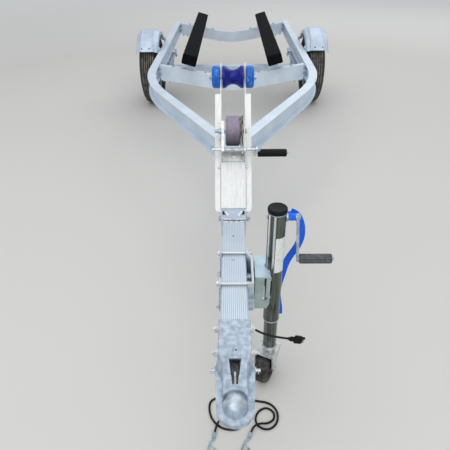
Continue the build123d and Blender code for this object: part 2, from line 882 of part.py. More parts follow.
# Winch frame: a folded base with two side plates that hold both shafts
side_out = winch_side_x
side_in = winch_side_x - winch_side_thick
with BuildPart() as winch_frame:
    with BuildSketch(stand_plane.offset(-panel_thick)):
        with Locations((0, panel_top + 3)):
            Rectangle(2 * side_out, 36, align=(Align.CENTER, Align.MIN))
    extrude(amount=winch_side_thick)
    for plate_x in (-side_out, side_in):
        with BuildSketch(stand_side(plate_x)):
            with BuildLine():
                Polyline(
                    (panel_top + 3, -22), (panel_top + 3, winch_rise - 3),
                    (crank_reach - 10, winch_rise + 15), (drum_reach + 34, winch_rise + 15),
                    (drum_reach + 46, winch_rise - 3), (drum_reach + 12, -22), close=True,
                )
            make_face()
            for shaft_reach in (drum_reach, crank_reach):
                with Locations((shaft_reach, winch_rise)):
                    Circle(winch_shaft_radius + running_gap, mode=Mode.SUBTRACT)
        extrude(amount=winch_side_thick)
    with BuildSketch(stand_plane.offset(winch_rise + 15)):
        with Locations((-side_out, crank_reach - 10)):
            Rectangle(winch_lip, drum_reach - crank_reach + 44, align=Align.MIN)
    extrude(amount=-winch_side_thick)
    for web_x in (-stand_web_x, side_out):
        with BuildSketch(stand_side(web_x)):
            with Locations((panel_top + 21, -12)):
                Circle(9)
        extrude(amount=stand_web_x - side_out)
save(winch_frame, "winch_frame")


def gear_points(teeth, turn):
    """Outline of a spur gear with straight-sided teeth, one tooth centred at the given turn."""
    pitch_radius = gear_module * teeth / 2
    tip = pitch_radius + 0.75 * gear_module
    root = pitch_radius - 1.05 * gear_module
    step = 360 / teeth
    points = []
    for index in range(teeth):
        middle = turn + index * step
        for radius, share in ((root, -0.31), (tip, -0.13), (tip, 0.13), (root, 0.31)):
            angle = math.radians(middle + share * step)
            points.append((radius * math.cos(angle), radius * math.sin(angle)))
    return points


# Drum: core, cheeks and the large gear on one shaft, with the strap wound on it
drum_right_x = drum_left_x + strap_width + 2 * drum_cheek_thick
with BuildPart() as drum:
    with BuildSketch(stand_side(drum_left_x, drum_reach, winch_rise)):
        Circle(drum_cheek_radius)
    extrude(amount=drum_cheek_thick)
    with BuildSketch(stand_side(drum_right_x - drum_cheek_thick, drum_reach, winch_rise)):
        Circle(drum_cheek_radius)
    extrude(amount=drum_cheek_thick)
    with BuildSketch(stand_side(drum_left_x, drum_reach, winch_rise)):
        Circle(drum_core_radius)
    extrude(amount=gear_x - drum_left_x)
    with BuildSketch(stand_side(-side_out - 24, drum_reach, winch_rise)):
        Circle(winch_shaft_radius)
    extrude(amount=2 * side_out + 30)
save(drum, "winch_drum")

with BuildPart() as gear:
    with BuildSketch(stand_side(gear_x, drum_reach, winch_rise)):
        Polygon(*gear_points(gear_teeth, 180 + 180 / gear_teeth), align=None)
        with PolarLocations(32, 5):
            Circle(9, mode=Mode.SUBTRACT)
        Circle(winch_shaft_radius + 0.1, mode=Mode.SUBTRACT)
    extrude(amount=gear_thick)
save(gear, "winch_gear")

with BuildPart() as strap:
    with BuildSketch(stand_side(drum_left_x + drum_cheek_thick + 0.2, drum_reach, winch_rise)):
        Circle(strap_radius)
        Circle(drum_core_radius + 0.2, mode=Mode.SUBTRACT)
    extrude(amount=strap_width - 0.4)
save(strap, "winch_strap")

# Winch crank: shaft, pinion and arm, with a plain grip on its pin
arm_turn = math.radians(crank_arm_angle)
crank_centre = stand_point(0, crank_reach, winch_rise)
grip_centre = crank_centre + Vector(0, math.cos(arm_turn), -math.sin(arm_turn)) * crank_arm_length
with BuildPart() as crank:
    with BuildSketch(stand_side(-crank_shaft_end, crank_reach, winch_rise)):
        Circle(winch_shaft_radius)
    extrude(amount=crank_shaft_end + crank_arm_x + crank_arm_thick + 4)
    with BuildSketch(stand_side(gear_x, crank_reach, winch_rise)):
        Polygon(*gear_points(pinion_teeth, 0), align=None)
    extrude(amount=gear_thick)
    arm_plane = Plane(
        origin=(crank_arm_x, crank_centre.Y, crank_centre.Z),
        x_dir=(0, math.cos(arm_turn), -math.sin(arm_turn)), z_dir=(1, 0, 0),
    )
    with BuildSketch(arm_plane):
        with Locations((crank_arm_length / 2, 0)):
            SlotCenterToCenter(crank_arm_length, crank_arm_width)
    extrude(amount=crank_arm_thick)
    with BuildSketch(Plane(origin=(crank_arm_x, grip_centre.Y, grip_centre.Z), z_dir=(1, 0, 0))):
        Circle(5)
    extrude(amount=crank_arm_thick + 9 + crank_grip_length + 3)
save(crank, "winch_crank")

with BuildPart() as grip:
    grip_start = crank_arm_x + crank_arm_thick + 9
    grip_plane = Plane(
        origin=(grip_start, grip_centre.Y, grip_centre.Z), x_dir=(1, 0, 0), z_dir=(0, -1, 0)
    )
    with BuildSketch(grip_plane):
        with BuildLine():
            Polyline(
                (0, 5.2), (0, crank_grip_radius - 3), (5, crank_grip_radius),
                (crank_grip_length - 8, crank_grip_radius), (crank_grip_length, crank_grip_radius - 4),
                (crank_grip_length, 5.2), close=True,
            )
        make_face()
    revolve(axis=Axis((0, grip_centre.Y, grip_centre.Z), (1, 0, 0)))
save(grip, "winch_grip")

# Jack clamp: a folded plate on one side of the tongue, two bars on the other, bolts and the boss
pivot_z = deck_height - jack_pivot_drop
jack_y = at(jack_station)
clamp_low = tongue_bottom - jack_clamp_past
clamp_high = deck_height + jack_clamp_past
fold_inner = jack_clamp_outer - jack_clamp_thick
clamp_out = tongue_half + jack_clamp_thick
front_bolt, rear_bolt = jack_clamp_bolts
clamp_plan = [
    (clamp_out, rear_bolt + 16), (clamp_out, rear_bolt - 10), (jack_clamp_outer, rear_bolt - 36),
    (jack_clamp_outer, front_bolt - 10), (tongue_half, front_bolt - 10),
    (tongue_half, front_bolt - 10 + jack_clamp_thick), (fold_inner, front_bolt - 10 + jack_clamp_thick),
    (fold_inner, rear_bolt - 38), (tongue_half, rear_bolt - 12), (tongue_half, rear_bolt + 16),
]
with BuildPart() as jack_clamp:
    with BuildSketch(Plane.XY.offset(clamp_low)):
        Polygon(*[(x, jack_y + run) for x, run in clamp_plan], align=None)
        with Locations(*[(-tongue_half, jack_y + run) for run in jack_clamp_bolts]):
            Rectangle(jack_clamp_thick, jack_bar_width, align=(Align.MAX, Align.CENTER))
    extrude(amount=clamp_high - clamp_low)
    for bolt_run in jack_clamp_bolts:
        for bolt_z in (deck_height + jack_bolt_radius + 1, tongue_bottom - jack_bolt_radius - 1):
            with BuildSketch(along(-clamp_out - jack_bolt_end)):
                with Locations((jack_y + bolt_run, bolt_z)):
                    Circle(jack_bolt_radius)
            extrude(amount=clamp_out + jack_bolt_end + jack_clamp_outer)
    for start, end, radius in (
        (tongue_half, fold_inner + 1, jack_spacer_radius),
        (jack_clamp_outer, jack_clamp_outer + jack_boss_length, jack_boss_radius),
    ):
        with BuildSketch(along(start)):
            with Locations((jack_y, pivot_z)):
                Circle(radius)
        extrude(amount=end - start)
save(jack_clamp, "jack_clamp")

# Jack body: a folded box that swivels on the boss, and the outer tube welded to it
plate_x = jack_clamp_outer + jack_boss_length + seat_gap
box_top = pivot_z + jack_pivot_drop
box_low = pivot_z - jack_box_drop
with BuildPart() as jack_body:
    with BuildSketch(along(plate_x)):
        with Locations((jack_y, pivot_z)):
            Circle(jack_plate_radius)
        with Locations((jack_y, box_low)):
            Rectangle(2 * jack_box_half, box_top - box_low, align=(Align.CENTER, Align.MIN))
    extrude(amount=jack_plate_thick)
    with BuildSketch(Plane.XY.offset(box_top)):
        with Locations((plate_x, jack_y)):
            Rectangle(jack_box_outer - plate_x, 2 * jack_box_half, align=(Align.MIN, Align.CENTER))
    extrude(amount=-jack_plate_thick)
    for wall_y in (jack_y - jack_box_half, jack_y + jack_box_half - jack_plate_thick):
        with BuildSketch(Plane(origin=(0, wall_y, 0), x_dir=(1, 0, 0), z_dir=(0, -1, 0))):
            with BuildLine():
                Polyline(
                    (plate_x, box_low), (jack_box_outer - 8, box_low), (jack_box_outer, box_low + 20),
                    (jack_box_outer, box_top), (plate_x, box_top), close=True,
                )
            make_face()
            with Locations((jack_key_x, pivot_z - jack_box_drop / 2)):
                Circle(jack_key_radius, mode=Mode.SUBTRACT)
                Rectangle(
                    jack_key_width, jack_box_drop, align=(Align.CENTER, Align.MIN), mode=Mode.SUBTRACT
                )
        extrude(amount=-jack_plate_thick)
    with BuildSketch(Plane.XY.offset(jack_tube_bottom)):
        with Locations((jack_x, jack_y)):
            Circle(jack_tube_radius)
    extrude(amount=jack_top - jack_tube_bottom)
    with BuildSketch(Plane.XY.offset(jack_tube_bottom)):
        with Locations((jack_x, jack_y)):
            Circle(jack_tube_radius - jack_tube_wall)
    extrude(amount=jack_top - jack_tube_bottom, mode=Mode.SUBTRACT)
    with BuildSketch(along(jack_x)):
        with Locations((jack_y, jack_crank_height)):
            Circle(jack_crank_radius + seat_gap)
    extrude(amount=2 * jack_tube_radius, mode=Mode.SUBTRACT)
save(jack_body, "jack_body")

with BuildPart() as jack_cap:
    with BuildSketch(Plane.XY.offset(jack_top)):
        with Locations((jack_x, jack_y)):
            Circle(jack_cap_radius)
    extrude(amount=jack_cap_height)
    fillet(jack_cap.edges().group_by(Axis.Z)[-1], 2.5)
save(jack_cap, "jack_cap")

# Jack crank: a side shaft, a steep arm and a grip that points outwards
grip_z = jack_crank_height - jack_crank_drop
arm_foot_x = jack_grip_start - 1
arm_half = jack_crank_radius + 1
with BuildPart() as jack_crank:
    with BuildSketch(along(jack_x + jack_crank_radius)):
        with Locations((jack_y, jack_crank_height)):
            Circle(jack_crank_radius)
    extrude(amount=jack_arm_top_x + 1 - jack_x - jack_crank_radius)
    with BuildSketch(Plane(origin=(0, jack_y + jack_grip_pin, 0), x_dir=(1, 0, 0), z_dir=(0, -1, 0))):
        with BuildLine():
            Polyline(
                (jack_arm_top_x, jack_crank_height + arm_half),
                (jack_arm_top_x + jack_arm_width, jack_crank_height + arm_half),
                (arm_foot_x, grip_z - arm_half), (arm_foot_x - jack_arm_width, grip_z - arm_half),
                close=True,
            )
        make_face()
    extrude(amount=2 * jack_grip_pin)
    with BuildSketch(along(arm_foot_x - jack_arm_width)):
        with Locations((jack_y, grip_z)):
            Circle(jack_grip_pin)
    extrude(amount=jack_grip_length + jack_arm_width + 5)
save(jack_crank, "jack_crank")

with BuildPart() as jack_grip:
    with BuildSketch(along(jack_grip_start)):
        with Locations((jack_y, grip_z)):
            Circle(jack_grip_radius)
            Circle(jack_grip_pin + seat_gap, mode=Mode.SUBTRACT)
    extrude(amount=jack_grip_length)
    fillet(jack_grip.edges().group_by(Axis.X)[-1].sort_by(SortBy.LENGTH)[-1:], 3)
save(jack_grip, "jack_grip")

# Tie strap: looped on the crank's shaft, its tail hanging in a bow and down behind the tube.
# The bow's points are given across and up.
band_bow = [
    (163, 657), (181, 645), (194, 620), (200, 588), (197, 553), (184, 520), (168, 488), (158, 456),
    (152, 425), (145, 390), (141, 355), (144, 320), (149, 286), (151, 252),
]
band_y = jack_y + band_back
loop_radius = jack_crank_radius + seat_gap
with BuildPart() as tie_strap:
    with BuildSketch(along(band_loop_x)):
        with Locations((jack_y, jack_crank_height)):
            Circle(loop_radius + band_thick)
            Circle(loop_radius, mode=Mode.SUBTRACT)
        with Locations((jack_y + loop_radius + band_thick / 2, jack_crank_height)):
            Rectangle(band_back - loop_radius, band_thick, align=(Align.MIN, Align.CENTER))
    extrude(amount=band_width)
    with BuildSketch(Plane(origin=(0, band_y, 0), x_dir=(1, 0, 0), z_dir=(0, -1, 0))):
        with BuildLine():
            Spline(*band_bow)
        trace(line_width=band_width)
    extrude(amount=-band_thick)
save(tie_strap, "tie_strap")

# Jack leg: the tube that slides inside the jack body
with BuildPart() as jack_leg:
    with BuildSketch(Plane.XY.offset(jack_leg_bottom)):
        with Locations((jack_x, jack_y)):
            Circle(jack_leg_radius)
            Circle(jack_leg_radius - jack_leg_wall, mode=Mode.SUBTRACT)
    extrude(amount=jack_leg_top - jack_leg_bottom)
    with BuildSketch(Plane.XY.offset(jack_leg_bottom)):
        with Locations((jack_x, jack_y)):
            Circle(jack_leg_radius)
    extrude(amount=6)
save(jack_leg, "jack_leg")

# Caster: fork and wheel, turned a little to one side as it was parked
yaw = math.radians(caster_yaw)
caster_x_dir = (math.cos(yaw), math.sin(yaw), 0)
trail_dir = Vector(math.sin(yaw), -math.cos(yaw), 0)
caster_centre = Vector(jack_x, jack_y, caster_wheel_radius) + trail_dir * caster_trail
fork_plane = Plane(origin=(jack_x, jack_y, caster_fork_top), x_dir=caster_x_dir, z_dir=(0, 0, 1))
fork_half = caster_fork_inside / 2
with BuildPart() as fork:
    with BuildSketch(fork_plane):
        with Locations((0, -caster_trail / 2)):
            RectangleRounded(
                caster_fork_inside + 2 * caster_fork_thick, caster_fork_width + caster_trail, 6
            )
    extrude(amount=-caster_fork_thick)
    with BuildSketch(fork_plane):
        Circle(jack_leg_radius)
    extrude(amount=jack_leg_bottom - caster_fork_top - seat_gap)
    for side in (-1, 1):
        cheek_x = side * (fork_half + caster_fork_thick / 2)
        cheek_origin = fork_plane.from_local_coords(Vector(cheek_x, 0, 0))
        cheek_plane = Plane(origin=cheek_origin, x_dir=tuple(trail_dir * -1), z_dir=caster_x_dir)
        with BuildSketch(cheek_plane):
            drop = caster_fork_top - caster_wheel_radius
            with BuildLine():
                Polyline(
                    (caster_fork_width / 2, 0), (caster_fork_width / 2, -12),
                    (-caster_trail + 14, -drop - 6), (-caster_trail - 4, -drop - 14),
                    (-caster_trail - 14, -drop), (-caster_trail - caster_fork_width / 2, -10),
                    (-caster_trail - caster_fork_width / 2, 0), close=True,
                )
            make_face()
        extrude(amount=caster_fork_thick / 2, both=True)
    pin_plane = Plane(origin=caster_centre, x_dir=(0, 0, 1), z_dir=caster_x_dir)
    with BuildSketch(pin_plane):
        Circle(caster_pin_radius)
    extrude(amount=fork_half + caster_fork_thick + 4, both=True)
save(fork, "caster_fork")

with BuildPart() as caster_wheel:
    caster_section = Plane(origin=caster_centre, x_dir=caster_x_dir, z_dir=tuple(trail_dir))
    half_caster = caster_wheel_width / 2
    roll = caster_wheel_radius
    with BuildSketch(caster_section):
        with BuildLine():
            Polyline(
                (-half_caster, caster_pin_radius + running_gap), (-half_caster, 14),
                (5 - half_caster, 19), (5 - half_caster, roll - 22), (1 - half_caster, roll - 18),
                (2 - half_caster, roll - 8), (9 - half_caster, roll - 2), (13 - half_caster, roll),
                (half_caster - 13, roll), (half_caster - 9, roll - 2), (half_caster - 2, roll - 8),
                (half_caster - 1, roll - 18), (half_caster - 5, roll - 22), (half_caster - 5, 19),
                (half_caster, 14), (half_caster, caster_pin_radius + running_gap), close=True,
            )
        make_face()
    revolve(axis=Axis(tuple(caster_centre), caster_x_dir))
save(caster_wheel, "caster_wheel")

# Coupler: a pressed steel shell over the tongue's end, with a domed ball socket
ball_y = at(ball_station)
coupler_half = tongue_half + seat_gap + coupler_wall
coupler_top = deck_height + seat_gap + coupler_wall
dome_z = deck_height - dome_drop
flange_low = deck_height - coupler_flange_drop
flange_high = flange_low + coupler_wall
lip_low = flange_low - nose_lip
channel_low = deck_height - coupler_side_drop
groove_radius = dome_radius + dome_groove


def coupler_outline(shrink=0.0, foot=0.0, slide=0.0):
    """Plan outline of the raised shell: drawn in by a wall, or with its taper's foot moved out and on."""
    half = coupler_half - shrink
    neck = coupler_neck_half - shrink
    right = [
        (neck, at(coupler_neck_front)), (neck, at(coupler_taper_front - slide)),
        (half + foot, at(coupler_taper_rear - slide)), (half, at(coupler_taper_rear + wing_run_out)),
        (half, at(coupler_rear)),
    ]
    return right + [(-x, y) for x, y in reversed(right)]


with BuildSketch() as nose:
    with BuildLine():
        ThreePointArc((-nose_radius, ball_y), (0, ball_y - nose_radius), (nose_radius, ball_y))
        Polyline(
            (nose_radius, ball_y), (wing_half, at(wing_station)), (coupler_half, at(coupler_taper_rear)),
            (-coupler_half, at(coupler_taper_rear)), (-wing_half, at(wing_station)),
            (-nose_radius, ball_y),
        )
    make_face()

with BuildPart() as coupler:
    with BuildSketch(Plane.XY.offset(flange_low)):
        Polygon(*coupler_outline(0, wing_foot, coupler_taper_slide), align=None)
    with BuildSketch(Plane.XY.offset(coupler_top)):
        Polygon(*coupler_outline(), align=None)
    loft(ruled=True)
    top_sides = coupler.faces().sort_by(Axis.Z)[-1].edges().sort_by(Axis.Y)[1:-1]
    fillet(top_sides, coupler_wall - 0.5)
    with BuildSketch(Plane.XY.offset(flange_high)):
        with Locations((0, ball_y)):
            Circle(groove_radius)
    extrude(amount=coupler_top, mode=Mode.SUBTRACT)
    with BuildSketch(Plane.XY.offset(channel_low)):
        with Locations((0, at(coupler_rear))):
            Rectangle(
                2 * coupler_half, coupler_rear - coupler_taper_rear, align=(Align.CENTER, Align.MAX)
            )
    extrude(amount=flange_high - channel_low)
    with BuildSketch(Plane.XY.offset(lip_low)):
        add(nose.sketch)
    extrude(amount=flange_high - lip_low)
    with Locations((0, ball_y, dome_z)):
        Sphere(dome_radius)
    with BuildSketch(Plane.XY.offset(flange_low)):
        offset(nose.sketch, amount=-coupler_wall)
    extrude(amount=-2 * dome_radius, mode=Mode.SUBTRACT)
    with BuildSketch(Plane.XY.offset(channel_low)):
        Polygon(*coupler_outline(coupler_wall), align=None)
        with Locations((0, ball_y)):
            Circle(groove_radius + coupler_wall, mode=Mode.SUBTRACT)
    extrude(amount=coupler_top - coupler_wall - channel_low, mode=Mode.SUBTRACT)
    with BuildSketch(Plane.XY.offset(channel_low)):
        with Locations((0, at(coupler_rear))):
            Rectangle(
                tongue_size + 2 * seat_gap, coupler_rear - tongue_front + seat_gap,
                align=(Align.CENTER, Align.MAX),
            )
    extrude(amount=deck_height + seat_gap - channel_low, mode=Mode.SUBTRACT)
    with BuildSketch(Plane.XY.offset(coupler_top - coupler_wall - 1)):
        with BuildLine():
            Polyline(
                (-slot_rear_half, at(slot_rear)), (slot_rear_half, at(slot_rear)),
                (slot_front_half, at(slot_front)), (-slot_front_half, at(slot_front)), close=True,
            )
        make_face()
    extrude(amount=2 * coupler_wall, mode=Mode.SUBTRACT)
    for bolt_station in coupler_bolt_stations:
        with BuildSketch(along(-coupler_half - 1)):
            with Locations((at(bolt_station), deck_height - coupler_bolt_drop)):
                Circle(coupler_bolt_radius + seat_gap)
        extrude(amount=2 * coupler_half + 2, mode=Mode.SUBTRACT)
    with BuildSketch(along(-wing_half - 1)):
        with Locations((at(coupler_pin_station), lip_low + nose_lip / 2)):
            Circle(coupler_pin_radius + seat_gap)
    extrude(amount=2 * wing_half + 2, mode=Mode.SUBTRACT)
    with Locations((0, ball_y, dome_z)):
        Sphere(ball_radius, mode=Mode.SUBTRACT)
save(coupler, "coupler")

# Coupler latch: a lever in the slot, its rod on top and the jaw behind the ball
latch_low = deck_height - latch_drop
pin_z = lip_low + nose_lip / 2
with BuildPart() as latch:
    with BuildSketch(Plane.XY.offset(latch_low)):
        Polygon(
            (-latch_half, at(latch_rear)), (latch_half, at(latch_rear)), (latch_tip_half, at(latch_front)),
            (-latch_tip_half, at(latch_front)), align=None,
        )
    extrude(amount=latch_thick)
    with BuildSketch(across(coupler_pin_station - 20)):
        with Locations((0, latch_low + latch_thick + latch_rod_radius - 1)):
            Circle(latch_rod_radius)
    extrude(amount=coupler_pin_station - 20 - latch_front - 5)
    with BuildSketch(along(-latch_half)):
        with BuildLine():
            Polyline(
                (at(latch_front), latch_low + 1), (at(latch_front), deck_height - latch_jaw_drop + 5),
                (at(latch_front - 12), deck_height - latch_jaw_drop + 5),
                (at(latch_front - 12), deck_height - latch_jaw_drop),
                (at(latch_front + 6), deck_height - latch_jaw_drop), (at(latch_front + 6), latch_low + 1),
                close=True,
            )
        make_face()
        with Locations((at(coupler_pin_station), pin_z)):
            Rectangle(2 * coupler_pin_radius + 6, 2 * (latch_low + 1 - pin_z))
            Circle(coupler_pin_radius + seat_gap, mode=Mode.SUBTRACT)
    extrude(amount=2 * latch_half)
save(latch, "coupler_latch")

# Coupler bolts and the cross pin
with BuildPart() as coupler_bolts:
    for bolt_station in coupler_bolt_stations:
        for start, length, radius, sides in (
            (-coupler_half - 14, 2 * coupler_half + 26, coupler_bolt_radius, 0),
            (-coupler_half - 10, 10, coupler_head_radius, 6),
            (coupler_half, 8, coupler_head_radius, 6),
        ):
            with BuildSketch(along(start)):
                with Locations((at(bolt_station), deck_height - coupler_bolt_drop)):
                    if sides:
                        RegularPolygon(radius, sides)
                    else:
                        Circle(radius)
            extrude(amount=length)
    with BuildSketch(along(-wing_half - coupler_pin_past)):
        with Locations((at(coupler_pin_station), pin_z)):
            Circle(coupler_pin_radius)
    extrude(amount=2 * (wing_half + coupler_pin_past))
save(coupler_bolts, "coupler_bolts")


# Cable eye: a bent rod under the tongue that both safety cables start from
with BuildPart() as cable_eye:
    eye_plane = Plane(origin=(0, at(cable_eye_station), 0), x_dir=(1, 0, 0), z_dir=(0, -1, 0))
    with BuildLine(eye_plane) as eye_path:
        FilletPolyline(
            (-cable_eye_x - 8, tongue_bottom), (-cable_eye_x, tongue_bottom - cable_eye_drop),
            (cable_eye_x, tongue_bottom - cable_eye_drop), (cable_eye_x + 8, tongue_bottom), radius=9,
        )
    with BuildSketch(Plane(origin=eye_path.line @ 0, x_dir=(0, 1, 0), z_dir=eye_path.line % 0)):
        Circle(cable_eye_wire)
    sweep(path=eye_path.wires()[0])
    split(bisect_by=Plane.XY.offset(tongue_bottom), keep=Keep.BOTTOM)
save(cable_eye, "cable_eye")


def run_radii(points):
    """Radius of the arc at each inner point: 0.45 of the shorter run over the half-turn's tangent."""
    radii = []
    for before, here, after in zip(points, points[1:], points[2:]):
        first = Vector(*here) - Vector(*before)
        second = Vector(*after) - Vector(*here)
        turn = math.radians(first.get_angle(second))
        radii.append(0.45 * min(first.length, second.length) / math.tan(turn / 2))
    return radii


def cord(points, diameter, name):
    """A round cord of straight runs joined by arcs, with its radii and volume check printed."""
    radii = run_radii(points)
    with BuildPart() as tube:
        with BuildLine() as line:
            FilletPolyline(*points, radius=radii)
        with BuildSketch(Plane(origin=line.line @ 0, z_dir=line.line % 0)):
            Circle(diameter / 2)
        sweep(path=line.wires()[0])
    length = line.wires()[0].length
    share = tube.part.volume / (length * math.pi * diameter**2 / 4)
    print(name, "radii", [round(radius) for radius in radii], "volume share", round(share, 4))
    save(tube, name)


# Safety cables: down from the eye, then loosely looped on the ground as they were left
rest_z = cable_diameter / 2 + 0.2
ferrule_z = ferrule_radius + 0.2
cable_top = tongue_bottom - cable_eye_drop - cable_eye_wire - seat_gap
cable_left = [
    (-19, at(408), cable_top), (-22, at(410), 322), (-25, at(418), 246), (-22, at(428), 166),
    (-17, at(424), 92), (-12, at(405), 36), (-2, at(372), 7), (20, at(334), rest_z),
    (28, at(305), rest_z), (20, at(283), rest_z), (-6, at(275), rest_z),
    (-36, at(280), rest_z), (-60, at(296), rest_z), (-77, at(321), rest_z),
    (-84, at(352), rest_z), (-82, at(376), rest_z), (-67, at(391), rest_z),
    (-46, at(391), rest_z), (-30, at(376), rest_z), (-31, at(350), rest_z), (-41, at(322), 8),
    (-49, at(303), 13.5), (-57, at(286), 13), (-62, at(270), ferrule_z), (-65, at(252), ferrule_z),
]
cable_right = [
    (19, at(408), cable_top), (23, at(410), 320), (25, at(418), 244), (22, at(428), 164),
    (20, at(424), 96), (30, at(404), 38), (52, at(384), rest_z), (84, at(380), rest_z),
    (116, at(374), rest_z), (139, at(352), rest_z), (144, at(322), rest_z), (134, at(293), rest_z),
    (108, at(276), rest_z), (80, at(284), rest_z), (66, at(309), rest_z), (76, at(339), rest_z),
    (98, at(355), rest_z), (118, at(352), rest_z), (132, at(335), rest_z), (129, at(312), rest_z),
    (107, at(297), 6),
    (83, at(293), 13.5), (63, at(285), 13), (53, at(270), ferrule_z), (47, at(253), ferrule_z),
]
cord(cable_left, cable_diameter, "cable_left")
cord(cable_right, cable_diameter, "cable_right")


# Cable hooks: open snap hooks on the ground, each with the ferrule that holds its cable's end
def hook(name, route):
    """A bent-wire hook that carries on along the last run of a cable's route."""
    end = Vector(*route[-1])
    heading = (end - Vector(*route[-2])).normalized()
    sleeve_start = end - heading * (ferrule_length - 6)
    hook_plane = Plane(origin=end + heading * 6, x_dir=heading, z_dir=(0, 0, 1))
    with BuildPart() as piece:
        with BuildSketch(Plane(origin=sleeve_start, z_dir=heading)):
            Circle(ferrule_radius)
        extrude(amount=ferrule_length)
        with BuildLine(hook_plane) as wire_line:
            FilletPolyline(
                (-2, 0), (6, 0), (14, -9), (50, -9), (60, -4), (60, 8), (50, 13), (36, 13), (30, 9),
                radius=4,
            )
        with BuildSketch(Plane(origin=wire_line.line @ 0, x_dir=(0, 0, 1), z_dir=wire_line.line % 0)):
            Circle(hook_wire / 2)
        sweep(path=wire_line.wires()[0])
        with BuildSketch(Plane(origin=sleeve_start, z_dir=heading)):
            Circle(cable_diameter / 2 + running_gap)
        extrude(amount=ferrule_length - 6 + running_gap, mode=Mode.SUBTRACT)
    save(piece, name)


hook("hook_left", cable_left)
hook("hook_right", cable_right)

# Wiring lead: out of the tongue's underside, across in front of the jack, to its plug
lead_route = [
    (lead_x, at(lead_station), tongue_bottom - 2), (lead_x + 1, at(459), 378), (20, at(455), 352),
    (30, at(449), 326), (44, at(443), 305), (64, at(436), 289), (88, at(432), 277), (117, at(430), 267),
    (147, at(430), 259), (177, at(431), 253),
]
cord(lead_route, lead_diameter, "wiring_lead")
with BuildPart() as grommet:
    with BuildSketch(Plane.XY.offset(tongue_bottom)):
        with Locations((lead_x, at(lead_station))):
            Circle(grommet_radius)
            Circle(lead_diameter / 2 + 0.2, mode=Mode.SUBTRACT)
    extrude(amount=-4)
save(grommet, "lead_grommet")
with BuildPart() as plug:
    plug_dir = Vector(*lead_route[-1]) - Vector(*lead_route[-2])
    with BuildSketch(Plane(origin=lead_route[-1], x_dir=(0, 1, 0), z_dir=plug_dir)):
        RectangleRounded(10, 17, 4)
    extrude(amount=14)
    with BuildSketch(Plane(origin=Vector(*lead_route[-1]) + plug_dir.normalized() * 14,
                           x_dir=(0, 1, 0), z_dir=plug_dir)):
        RectangleRounded(12, 27, 4)
    extrude(amount=24)
save(plug, "wiring_plug")

# Tail lamps: sealed blocks on the back of the rear crossmember
with BuildPart() as lamps:
    lamp_back = at(cross_rear_station) + cross_flange
    lamp_z = (cross_top(lamp_x) + cross_bottom(lamp_x)) / 2
    for side in (-1, 1):
        with BuildSketch(Plane(origin=(side * lamp_x, lamp_back, lamp_z), x_dir=(1, 0, 0), z_dir=(0, 1, 0))):
            RectangleRounded(lamp_width - 30, lamp_height, 8)
        extrude(amount=lamp_depth)
        web_back = at(cross_rear_station) + cross_web + seat_gap
        with BuildSketch(Plane(origin=(side * lamp_x, web_back, lamp_z), x_dir=(1, 0, 0), z_dir=(0, 1, 0))):
            Rectangle(70, 40)
        extrude(amount=lamp_back - web_back)
save(lamps, "tail_lamps")
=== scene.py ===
import json
import math
import random

import bmesh
import bpy
from mathutils import Matrix, Vector
from mathutils import noise as noise_source


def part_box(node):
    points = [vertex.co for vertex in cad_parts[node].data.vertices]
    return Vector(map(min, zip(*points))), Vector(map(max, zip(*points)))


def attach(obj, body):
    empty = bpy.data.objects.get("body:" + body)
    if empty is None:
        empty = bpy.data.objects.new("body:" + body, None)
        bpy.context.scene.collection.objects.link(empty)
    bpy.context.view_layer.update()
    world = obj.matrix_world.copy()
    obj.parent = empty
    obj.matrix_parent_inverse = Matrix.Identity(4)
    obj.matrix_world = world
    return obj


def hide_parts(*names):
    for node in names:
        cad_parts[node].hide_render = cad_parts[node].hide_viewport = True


bl_info = {
    "name": "Boat trailer dressing",
    "version": (1, 0, 0),
    "blender": (4, 5, 0),
    "location": "3D View > Sidebar > Trailer",
    "description": "Finishes, fasteners, tyres, carpet and cords for a boat trailer frame",
    "category": "Object",
}

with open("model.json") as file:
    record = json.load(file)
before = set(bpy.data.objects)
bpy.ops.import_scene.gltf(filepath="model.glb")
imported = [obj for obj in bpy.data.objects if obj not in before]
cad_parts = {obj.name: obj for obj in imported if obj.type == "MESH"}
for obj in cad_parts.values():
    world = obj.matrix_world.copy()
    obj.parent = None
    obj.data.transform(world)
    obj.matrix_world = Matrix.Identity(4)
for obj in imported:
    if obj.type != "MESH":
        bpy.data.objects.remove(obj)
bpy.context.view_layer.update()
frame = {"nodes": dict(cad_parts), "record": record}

MM = 0.001
HALF_LENGTH = 2.3675
SIDES = ((-1, "left"), (1, "right"))
UP, DOWN = (0, 0, 1), (0, 0, -1)


def at(station):
    """The y in metres of a station in millimetres behind the nose."""
    return station * MM - HALF_LENGTH


# Places that several pieces share: metres, or millimetres in a line marked so
DECK = 0.480
AXLE_STATION = 3545  # mm
AXLE_Y = at(AXLE_STATION)
AXLE_Z = 0.286
WHEEL_X = 0.700
AXLE_TURN = Matrix(((0, 0, 1, 0), (1, 0, 0, 0), (0, 1, 0, 0), (0, 0, 0, 1)))
STUD_CIRCLE = 0.0508
FENDER_START, FENDER_SWEEP = math.radians(38), math.radians(104)
SPRING_X, SPRING_EYE, SLIPPER = 550, 357.8, 331.5  # mm
BUNK_SIZE = (108, 1866, 72)  # mm
BUNK_FRONT, BUNK_X, BUNK_Z = 2832, 0.311, 0.5245  # the front in mm
BUNK_LEAN = math.radians(16)
CROSSMEMBERS = (2925, 4655)  # mm
CROSS_SLOPE = math.radians(11)
CROSS_DEPTH, CROSS_TOP, CROSS_END = 101.6, 473.3, 569  # mm
STAND_Y = at(825)
STAND_LEAN = math.radians(38)
STAND_OUT = Vector((0, -math.cos(STAND_LEAN), math.sin(STAND_LEAN)))
CRANK_TURN = math.radians(29.5)
JACK_STATION = 515  # mm
JACK_X = 0.122
JACK_Y = at(JACK_STATION)
JACK_LID = 0.4785
